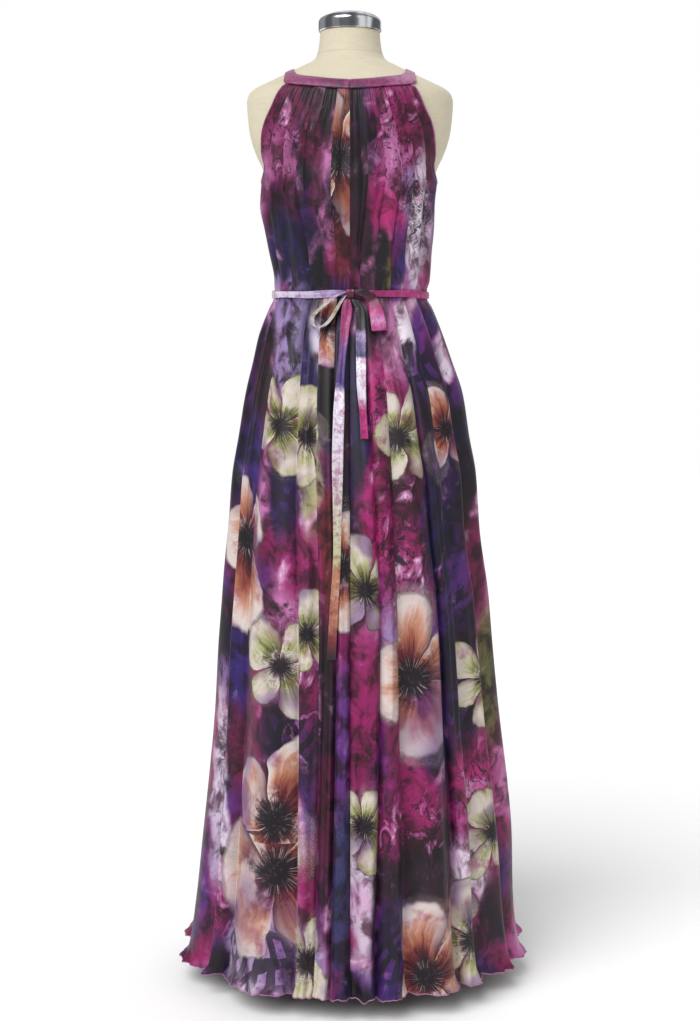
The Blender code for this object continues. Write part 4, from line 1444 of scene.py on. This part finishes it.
def flower(finish, layer, count, parting, heart, stops, below):
    """A flower of broad streaked petals round a dark speckled heart, laid over a colour."""
    (x, y, mask), _, own = finish.field(layer)
    seed = finish.math("MULTIPLY", own, 40.0)
    place = finish.together(x, y, seed)
    soft = finish.math("SUBTRACT", finish.noise(place, 1.5, detail=3), 0.5)
    squares = finish.math("ADD", finish.math("MULTIPLY", x, x), finish.math("MULTIPLY", y, y))
    radius = finish.math("SQRT", squares)
    turn = finish.math("ARCTAN2", y, x)
    lean = finish.math("SINE", finish.math("ADD", turn, seed))
    turn = finish.math("ADD", turn, finish.math("MULTIPLY", lean, 0.3))
    turn = finish.math("ADD", turn, finish.math("MULTIPLY", soft, 0.8))
    petal = finish.math("ADD", finish.math("MULTIPLY", turn, count / (2 * math.pi)), 4.0 * count)
    share = finish.math("FRACT", petal)
    number = finish.math("MODULO", finish.math("FLOOR", petal), count)
    length = finish.node("ShaderNodeTexWhiteNoise", noise_dimensions="1D")
    finish.join(finish.math("ADD", number, seed), length.inputs["W"])
    length = length.outputs["Value"]
    swell = finish.math("SINE", finish.math("MULTIPLY", share, math.pi))
    swell = finish.math("POWER", finish.math("MAXIMUM", swell, 0.0001), parting)
    ruffle = finish.math("SUBTRACT", finish.noise(place, 7, detail=3), 0.5)
    edge = finish.math("ADD", 0.56, finish.math("MULTIPLY", length, 0.34))
    edge = finish.math("ADD", finish.math("MULTIPLY", swell, edge), finish.math("MULTIPLY", ruffle, 0.10))
    edge = finish.math("ADD", edge, 0.10)
    reach = finish.math("DIVIDE", radius, edge)
    whole = finish.math("MULTIPLY", finish.fade(reach, 1.0, 0.97), finish.fade(mask, 0.45, 0.55))

    rays = finish.together(finish.math("MULTIPLY", petal, 9.0), radius, seed)
    streak = finish.noise(rays, 1.2, detail=5, roughness=0.7)
    streaked = finish.math("ADD", reach, finish.math("MULTIPLY", finish.math("SUBTRACT", streak, 0.5), 0.9))
    body = finish.steps(streaked, stops)
    cloudy = finish.noise(place, 2.6, detail=4, roughness=0.6)
    body = finish.mix(finish.fade(cloudy, 0.50, 0.64, 0.0, 0.75), body, "petal_white")
    body = finish.mix(finish.fade(cloudy, 0.46, 0.30, 0.0, 0.7), body, "lilac_pink", "MULTIPLY")
    dusk = finish.noise(place, 1.1, detail=2)
    body = finish.mix(finish.fade(dusk, 0.52, 0.66, 0.0, 0.55), body, "purple")
    body = finish.mix(finish.fade(share, 0.10, 0.0, 0.0, 0.6), body, "plum")
    body = finish.mix(finish.fade(share, 0.32, 0.0, 0.0, 0.55), body, "mulberry", "MULTIPLY")
    body = finish.mix(finish.fade(reach, 0.93, 0.98, 0.0, 0.55), body, "plum")

    rough_radius = finish.math("ADD", radius, finish.math("MULTIPLY", soft, 0.25))
    rough_radius = finish.math("ADD", rough_radius, finish.math("MULTIPLY", finish.math("SUBTRACT", streak, 0.5), 0.3))
    speckle = finish.node("ShaderNodeTexVoronoi", feature="F1")
    finish.join(place, speckle.inputs["Vector"])
    speckle.inputs["Scale"].default_value = 30
    dots = finish.fade(speckle.outputs["Distance"], 0.42, 0.22, 0.0, 0.6)
    scrawl = finish.noise(place, 9, detail=2, roughness=0.5, distortion=2.0)
    line = finish.fade(finish.math("ABSOLUTE", finish.math("SUBTRACT", scrawl, 0.5)), 0.035, 0.012)
    near = finish.fade(rough_radius, heart * 3.2, heart * 1.5, 0.0, 0.75)
    body = finish.mix(finish.math("MULTIPLY", line, near), body, "plum")
    body = finish.mix(finish.fade(rough_radius, heart * 1.7, heart * 1.15, 0.0, 0.75), body, "plum")
    body = finish.mix(finish.fade(rough_radius, heart * 1.25, heart * 0.8, 0.0, 0.85), body, "night")
    body = finish.mix(finish.math("MULTIPLY", dots, finish.fade(rough_radius, heart * 1.3, heart * 1.0)), body, "cocoa")
    hairs = finish.noise(finish.together(finish.math("MULTIPLY", turn, 11.0), finish.math("MULTIPLY", radius, 1.6), seed), 1.9, detail=2)
    ring = finish.math("MULTIPLY", finish.fade(radius, heart * 0.8, heart), finish.fade(radius, heart * 1.9, heart * 1.4))
    body = finish.mix(finish.math("MULTIPLY", finish.fade(hairs, 0.60, 0.66, 0.0, 0.55), ring), body, "petal_white")
    body = finish.mix(finish.math("MULTIPLY", finish.fade(hairs, 0.42, 0.36, 0.0, 0.7), ring), body, "plum")
    return finish.mix(whole, below, body)


def dress_print():
    """Printed chiffon: clouds of dye, inked lines, curved stripes and scattered flowers."""
    finish = Finish("printed chiffon", Roughness=0.5, Sheen_Weight=0.06, Sheen_Roughness=0.4)
    finish.shader.inputs["Specular IOR Level"].default_value = 0.35
    place = finish.cloth_map()
    _, wash, first_ring = finish.field("wash")
    (ink, curl, dark), _, second_ring = finish.field("marks")

    blot = finish.noise(finish.stretched(place, (1, 0.75, 1)), 34, detail=7, roughness=0.62, distortion=0.6)
    colour = finish.mix(finish.fade(blot, 0.56, 0.36, 0.0, 0.8), wash, "berry", "MULTIPLY")
    colour = finish.mix(finish.fade(blot, 0.58, 0.76, 0.0, 0.35), colour, "pale")
    drift = finish.noise(finish.stretched(place, (1, 0.7, 1), (3, 1, 0)), 15, detail=5, roughness=0.6, distortion=0.4)
    colour = finish.mix(finish.fade(drift, 0.57, 0.70, 0.0, 0.4), colour, "magenta")
    colour = finish.mix(finish.fade(drift, 0.42, 0.31, 0.0, 0.45), colour, "indigo")
    glow = finish.noise(finish.stretched(place, (1, 0.8, 1), (5, 8, 0)), 11, detail=5, roughness=0.55, distortion=0.5)
    colour = finish.mix(finish.fade(glow, 0.59, 0.70, 0.0, 0.75), colour, "lilac_pink")
    colour = finish.mix(finish.fade(glow, 0.64, 0.74, 0.0, 0.8), colour, "white")
    stain = finish.noise(finish.stretched(place, (1, 0.75, 1), (9, 5, 0)), 19, detail=6, roughness=0.62, distortion=0.8)
    colour = finish.mix(finish.fade(stain, 0.42, 0.32, 0.0, 0.85), colour, "night")

    sway = finish.noise(finish.stretched(place, (1, 1, 1), (2, 2, 0)), 9, detail=2)
    bands = None
    for ring, width, low, high in ((first_ring, 0.022, -0.05, 0.12), (second_ring, 0.046, 0.55, 0.68)):
        run = finish.math("DIVIDE", ring, width)
        run = finish.math("ADD", run, finish.math("MULTIPLY", sway, 2.0))
        wave = finish.fade(finish.math("SINE", finish.math("MULTIPLY", run, 2 * math.pi)), low, high)
        bands = wave if bands is None else finish.math("MAXIMUM", bands, wave)
    curl = finish.math("MULTIPLY", curl, finish.fade(drift, 0.36, 0.48))
    colour = finish.mix(finish.math("MULTIPLY", curl, 0.5), colour, "purple")
    colour = finish.mix(finish.math("MULTIPLY", finish.math("MULTIPLY", bands, curl), 0.8), colour, "night")

    shore = finish.noise(finish.stretched(place, (1, 0.7, 1), (7, 2, 0)), 30, detail=4, roughness=0.58, distortion=1.1)
    isle = finish.math("MULTIPLY", finish.fade(shore, 0.55, 0.66, 0.0, 0.7), ink)
    colour = finish.mix(isle, colour, "lilac_pink")
    isle = finish.math("MULTIPLY", finish.fade(shore, 0.63, 0.74, 0.0, 0.8), ink)
    colour = finish.mix(isle, colour, "white")
    for level, wide, thin, name, depth in SHORE_LINES:
        gap = finish.math("ABSOLUTE", finish.math("SUBTRACT", shore, level))
        line = finish.math("MULTIPLY", finish.fade(gap, wide, thin), ink)
        colour = finish.mix(finish.math("MULTIPLY", line, depth), colour, name)
    scrawl = finish.noise(finish.stretched(place, (1, 0.9, 1), (1, 6, 0)), 150, detail=2, roughness=0.5, distortion=2.2)
    line = finish.fade(finish.math("ABSOLUTE", finish.math("SUBTRACT", scrawl, 0.5)), 0.035, 0.01)
    spread = finish.math("MULTIPLY", dark, finish.fade(blot, 0.62, 0.50))
    colour = finish.mix(finish.math("MULTIPLY", finish.math("MULTIPLY", line, spread), 0.85), colour, "night")

    colour = flower(finish, "bloom_2", 5, 0.30, 0.13, LIME_PETAL, colour)
    colour = flower(finish, "bloom_1", 4, 0.30, 0.115, PEACH_PETAL, colour)
    depth = finish.node("ShaderNodeGamma")
    finish.join(colour, depth.inputs["Color"])
    depth.inputs["Gamma"].default_value = DYE_DEPTH
    finish.colour(depth.outputs[0])
    slub = finish.weave(place, 340, 0.12)
    finish.rough(finish.fade(slub, 0.2, 0.8, 0.42, 0.56))
    return finish.material


def band_satin():
    """The mauve pink of the neck band, which darkens to purple at centre back."""
    finish = Finish("mauve band satin", Roughness=0.42, Sheen_Weight=0.3, Sheen_Roughness=0.35)
    spot = finish.object_place()
    x, y, z = finish.parts(spot)
    side = finish.fade(finish.math("ABSOLUTE", x), 0.004, 0.075)
    back = finish.fade(y, -0.02, -0.06)
    cloudy = finish.noise(spot, 38, detail=5, roughness=0.6)
    pink = finish.mix(finish.fade(cloudy, 0.35, 0.68), "mulberry", "band_pink")
    dark = finish.mix(finish.fade(cloudy, 0.4, 0.66), "plum", "mulberry")
    colour = finish.mix(finish.math("MULTIPLY", back, finish.math("SUBTRACT", 0.9, side)), pink, dark)
    right = finish.math("MULTIPLY", finish.fade(x, 0.045, 0.085), back)
    colour = finish.mix(finish.math("MULTIPLY", right, 0.35), colour, "lilac_pink")
    fleck = finish.noise(finish.stretched(spot, (1, 1, 0.4)), 240, detail=3)
    colour = finish.mix(finish.fade(fleck, 0.52, 0.36, 0.0, 0.55), colour, "plum")
    finish.colour(colour)
    slub = finish.weave(spot, 360, 0.15)
    finish.rough(finish.fade(slub, 0.2, 0.8, 0.36, 0.52))
    return finish.material


def hem_satin():
    finish = Finish("rolled edge thread", Roughness=0.5, Sheen_Weight=0.2)
    spot = finish.object_place()
    cloudy = finish.noise(spot, 14, detail=3)
    colour = finish.mix(cloudy, "mulberry", "lilac_pink")
    twist = finish.wave(finish.stretched(spot, (1, 1, 1.6)), 260, direction="DIAGONAL")
    colour = finish.mix(finish.math("MULTIPLY", twist, 0.4), colour, "plum")
    finish.colour(colour)
    finish.rough(finish.fade(cloudy, 0.3, 0.7, 0.42, 0.6))
    finish.bump(twist, 0.4, 0.0003)
    return finish.material


def thread():
    finish = Finish("mauve thread", Roughness=0.5, Sheen_Weight=0.2)
    spot = finish.object_place()
    cloudy = finish.noise(spot, 60, detail=3)
    finish.colour(finish.mix(cloudy, "mulberry", "lilac_pink"))
    twist = finish.wave(spot, 700, direction="DIAGONAL")
    finish.rough(finish.fade(twist, 0.0, 1.0, 0.4, 0.6))
    finish.bump(twist, 0.3, 0.0001)
    return finish.material


def tie_satin(name, stops, low, high, across=False):
    """The tie's satin, printed in stretches of colour down its length or across the waist."""
    finish = Finish(name, Roughness=0.4, Sheen_Weight=0.3, Sheen_Roughness=0.35)
    spot = finish.object_place()
    x, y, z = finish.parts(spot)
    bleed = finish.math("SUBTRACT", finish.noise(finish.stretched(spot, (3, 3, 1)), 60, detail=5), 0.5)
    run = finish.math("ADD", x if across else z, finish.math("MULTIPLY", bleed, 0.012))
    share = finish.node("ShaderNodeMapRange")
    for value, socket in zip((run, low, high), share.inputs):
        finish.join(value, socket)
    colour = finish.steps(share.outputs[0], stops)
    cloudy = finish.noise(spot, 90, detail=5, roughness=0.6)
    colour = finish.mix(finish.fade(cloudy, 0.54, 0.34, 0.0, 0.7), colour, "lilac_pink", "MULTIPLY")
    colour = finish.mix(finish.fade(cloudy, 0.56, 0.74, 0.0, 0.25), colour, "white")
    inked = finish.noise(finish.stretched(spot, (1, 1, 0.7)), 130, detail=4, distortion=1.0)
    line = finish.fade(finish.math("ABSOLUTE", finish.math("SUBTRACT", inked, 0.56)), 0.016, 0.004)
    colour = finish.mix(finish.math("MULTIPLY", line, 0.6), colour, "plum")
    depth = finish.node("ShaderNodeGamma")
    finish.join(colour, depth.inputs["Color"])
    depth.inputs["Gamma"].default_value = TIE_DEPTH
    finish.colour(depth.outputs[0])
    slub = finish.weave(spot, 380, 0.12)
    finish.rough(finish.fade(slub, 0.2, 0.8, 0.34, 0.5))
    return finish.material


def form_linen():
    """Cream linen of the dress form, with its slubs and a faint seam round the neck."""
    finish = Finish("cream form linen", Roughness=0.8, Sheen_Weight=0.15)
    spot = finish.object_place()
    x, y, z = finish.parts(spot)
    cloudy = finish.noise(spot, 9, detail=4)
    thread_run = finish.noise(finish.stretched(spot, (1, 1, 0.08)), 420, detail=3)
    cross_run = finish.noise(finish.stretched(spot, (0.08, 0.08, 1)), 420, detail=3)
    colour = finish.mix(cloudy, "linen_shade", "linen")
    colour = finish.mix(finish.fade(thread_run, 0.5, 0.7, 0.0, 0.3), colour, "linen_slub")
    colour = finish.mix(finish.fade(cross_run, 0.5, 0.7, 0.0, 0.3), colour, "linen_slub")
    gap = finish.math("ABSOLUTE", finish.math("SUBTRACT", z, NECK_SEAM))
    seam = finish.fade(gap, 0.0011, 0.0003)
    colour = finish.mix(finish.math("MULTIPLY", seam, 0.18), colour, "linen_seam")
    finish.colour(colour)
    height = finish.math("ADD", thread_run, cross_run)
    height = finish.math("SUBTRACT", height, finish.math("MULTIPLY", seam, 2.0))
    finish.bump(height, 0.25, 0.0005)
    finish.rough(finish.fade(cloudy, 0.3, 0.7, 0.74, 0.86))
    return finish.material


def polished(name, dark, bright, roughness):
    """Turned metal with fine rings of polish, and soft upright bands of painted reflection from a dark to a bright
    colour.
    """
    finish = Finish(name, Metallic=1.0, Roughness=roughness)
    spot = finish.object_place()
    rings = finish.noise(finish.stretched(spot, (0.02, 0.02, 1)), 900, detail=2)
    # Painted reflection: soft upright bands in the base colour, from the dark to the bright colour
    painted_reflection = finish.noise(finish.stretched(spot, (1, 1, 0.15)), 34, detail=3)
    finish.colour(finish.mix(finish.fade(painted_reflection, 0.42, 0.6), dark, bright))
    finish.rough(finish.fade(rings, 0.3, 0.7, roughness, roughness + 0.08))
    finish.bump(rings, 0.05, 0.0002)
    return finish.material


def floor_finish():
    finish = Finish("pale floor", Roughness=0.9)
    cloudy = finish.noise(finish.object_place(), 1.2, detail=2)
    finish.colour(finish.mix(cloudy, "floor", "floor_light"))
    return finish.material


def soft_sun(name, towards, strength, spread):
    """Soft light from a direction, as wide as a large panel."""
    light = bpy.data.lights.new(name, "SUN")
    light.energy = strength
    light.angle = math.radians(spread)
    lamp = bpy.data.objects.new(name, light)
    lamp.location = towards
    lamp.rotation_euler = Vector(towards).to_track_quat("Z", "Y").to_euler()
    bpy.context.scene.collection.objects.link(lamp)


def add_studio():
    """A pale floor, soft light from the front and above, and a white surround."""
    shape = bmesh.new()
    bmesh.ops.create_circle(shape, cap_ends=True, segments=96, radius=9)
    bmesh.ops.inset_individual(shape, faces=shape.faces[:], thickness=4)
    mesh = bpy.data.meshes.new("floor")
    shape.to_mesh(mesh)
    shape.free()
    mesh.materials.append(floor_finish())
    floor = bpy.data.objects.new("floor", mesh)
    bpy.context.scene.collection.objects.link(floor)
    world = bpy.data.worlds.new("white surround")
    world.use_nodes = True
    tree = world.node_tree
    surround = tree.nodes["Background"]
    surround.inputs["Color"].default_value = (1, 1, 1, 1)
    seen = tree.nodes.new("ShaderNodeLightPath")
    strength = tree.nodes.new("ShaderNodeMapRange")
    strength.inputs["To Min"].default_value = SURROUND_LIGHT
    strength.inputs["To Max"].default_value = SURROUND_SEEN
    tree.links.new(seen.outputs["Is Camera Ray"], strength.inputs["Value"])
    tree.links.new(strength.outputs[0], surround.inputs["Strength"])
    bpy.context.scene.world = world
    bpy.context.scene.view_settings.view_transform = "Standard"
    soft_sun("key", (-1.5, -2.3, 2.8), 2.8, 50)
    soft_sun("fill", (2.4, -1.4, 1.4), 0.4, 60)
    soft_sun("behind", (0.8, 2.6, 2.0), 0.7, 60)


def add_camera():
    """The photograph's view: from behind the dress, a little above its middle, looking down."""
    lens = bpy.data.cameras.new("camera")
    lens.lens = 59.04
    lens.sensor_width = 36
    camera = bpy.data.objects.new("camera", lens)
    camera.location = (0, -2.5553, 0.9966)
    camera.rotation_euler = (math.radians(90 - 6.224), 0, 0)
    bpy.context.scene.collection.objects.link(camera)
    bpy.context.scene.camera = camera


def flat_size(points):
    """The greatest width and length of a sheet in metres, and its area in square metres."""
    around = np.linalg.norm(np.diff(points, axis=1), axis=2).sum(axis=1)
    upward = np.linalg.norm(np.diff(points, axis=0), axis=2).sum(axis=0)
    across = np.diff(points, axis=1)[:-1]
    rising = np.diff(points, axis=0)[:, :-1]
    area = np.linalg.norm(np.cross(across, rising), axis=2).sum()
    return around.max() * MM, upward.max() * MM, area * MM * MM


def declare_sheet(points):
    width, length, area = flat_size(points)
    area = min(area, width * length)


def add_dress():
    """The three panels, with their hems and the bindings of the armholes."""
    print_finish, edge_finish, binding_finish = dress_print(), hem_satin(), band_satin()
    surfaces = {name: panel_surface(name) for name in PANELS}
    pieces, trims = {}, {}
    for name, (points, flat) in surfaces.items():
        shape = laid_cloth(points, flat)
        pieces[name] = add_piece("cloth_" + name, shape, print_finish, (name,), DRESS_CLOTH)
        lay_print(pieces[name], name, points, flat)
        hem = tube_shape([points[0]], HEM_ROLL)
        trims[name] = [add_piece("hem_roll_" + name, hem, edge_finish)]
    front = surfaces["front"][0]
    for side, back_edge, front_edge in (("right", -1, 0), ("left", 0, -1)):
        back = surfaces["back_" + side][0]
        line = binding_line(back, back_edge, front, front_edge)
        node = "armhole_binding_" + side
        shape = tube_shape([line], BINDING_RADIUS)
        trims["back_" + side].append(add_piece("binding_" + side, shape, binding_finish, (node,)))
    for name, (points, _) in surfaces.items():
        declare_sheet(points)
    return pieces


def add_band():
    """The neck band and its two rows of stitches."""
    points = band_points(np.linspace(0, 1, 11))
    shape = laid_cloth(points, strip_map(points))
    band = add_piece("band_of_neck", shape, band_satin(), ("neck_band",), BAND_CLOTH)
    for number, line in enumerate(band_points([0.13, 0.87], BAND_CLOTH / 2 + 0.05)):
        add_piece(f"band_stitches_{number}", stitches(line, 3.4, 2.3, 0.28), thread())
    declare_sheet(points)


def add_belt(pieces):
    """The tie round the waist, with its knot, two loops and two tails."""
    stops = ((0.0, "lilac_pink"), (0.12, "pale"), (0.42, "lilac"), (0.49, "purple"), (0.54, "magenta"), (0.8, "hot_pink"))
    points = belt_points()
    shape = laid_cloth(points, strip_map(points), closed=True)
    finish = tie_satin("tie round the waist", stops, -0.14, 0.14, across=True)
    belt = add_piece("tie_of_waist", shape, finish, ("belt",), BELT_CLOTH)
    declare_sheet(points)

    depsgraph = bpy.context.evaluated_depsgraph_get()
    cloth = (pieces["back_left"], pieces["back_right"], belt)
    trees = [BVHTree.FromObject(piece, depsgraph) for piece in cloth]
    front_of_belt = touch(trees, 0, 12, KNOT_HEIGHT)
    knot_stops = ((0.0, "plum"), (0.35, "berry"), (0.7, "russet"), (1.0, "lilac_pink"))
    finish = tie_satin("tie at the knot", knot_stops, 1.038, 1.054)
    depth = front_of_belt - 0.3 - KNOT_SIZE[1] / 2
    add_piece("knot_of_tie", knot_shape(depth), finish, ("bow_knot",))
    for name, rows, stops, low, high in TIE_ENDS:
        if "loop" in name:
            points = loop_points(trees, rows)
        else:
            points = tail_points(trees, rows)
        shape = laid_cloth(points, strip_map(points))
        finish = tie_satin(name.replace("_", " "), stops, low, high)
        end = add_piece("tie_" + name, shape, finish, (name,), RIBBON_CLOTH)
        declare_sheet(points)


def add_form():
    """The dress form, its neck cap and its stand."""
    add_piece("form_skin", form_shape(), form_linen(), ("form_torso",))
    places = np.linspace(0, len(CAP_ROWS) - 1, 40)
    table = [(number, *row) for number, row in enumerate(CAP_ROWS)]
    cap_line = list(zip(smooth(table, places, 1), smooth(table, places, 2)))
    cap = turned(cap_line, 96, FORM_ROWS[-1][4])
    # The cap's and the stand's colours hold painted reflection bands, dark to bright
    add_piece("cap_of_neck", cap, polished("chrome cap", "chrome_reflection_dark", "chrome", 0.12), ("neck_cap",))
    steel = polished("brushed steel", "steel_reflection_dark", "steel", 0.34)
    pole_line = [(BASE_THICKNESS + SEAM_GAP, POLE_RADIUS), (FORM_BOTTOM - SEAM_GAP, POLE_RADIUS)]
    add_piece("pole_of_stand", turned(pole_line, 64), steel, ("stand_pole",))
    rim = [(BASE_THICKNESS - 4 + 4 * math.sin(t), BASE_RADIUS - 4 + 4 * math.cos(t)) for t in np.linspace(0, math.pi / 2, 7)]
    base_line = [(0, BASE_RADIUS - 1), (1, BASE_RADIUS), *rim, (BASE_THICKNESS, 30), (BASE_THICKNESS, POLE_RADIUS + 4)]
    add_piece("base_of_stand", turned(base_line, 128), steel, ("stand_base",))


# The ends of the tie: name, rows, stops of colour from the bottom up, and the heights they span
TIE_ENDS = [
    (
        "bow_loop_left",
        LEFT_LOOP_ROWS,
        ((0.0, "lime"), (0.18, "pale"), (0.5, "lime"), (0.8, "pale"), (1.0, "lilac")),
        0.990,
        1.050,
    ),
    (
        "bow_loop_right",
        RIGHT_LOOP_ROWS,
        ((0.0, "hot_pink"), (0.3, "lilac_pink"), (0.55, "hot_pink"), (0.8, "berry"), (1.0, "plum")),
        0.990,
        1.050,
    ),
    (
        "bow_tail_long",
        LONG_TAIL_ROWS,
        (
            (0.0, "night"),
            (0.05, "russet"),
            (0.10, "peach"),
            (0.235, "peach"),
            (0.27, "lime"),
            (0.60, "pale"),
            (0.735, "white"),
            (0.755, "violet"),
            (0.86, "purple"),
            (0.90, "magenta"),
            (0.98, "magenta"),
            (1.0, "russet"),
        ),
        0.526,
        1.040,
    ),
    (
        "bow_tail_short",
        SHORT_TAIL_ROWS,
        (
            (0.0, "hot_pink"),
            (0.20, "hot_pink"),
            (0.30, "pale"),
            (0.56, "white"),
            (0.585, "slate"),
            (0.74, "lilac"),
            (0.78, "plum"),
            (1.0, "night"),
        ),
        0.838,
        1.040,
    ),
]

add_camera()
add_studio()
add_form()
add_band()
add_belt(add_dress())
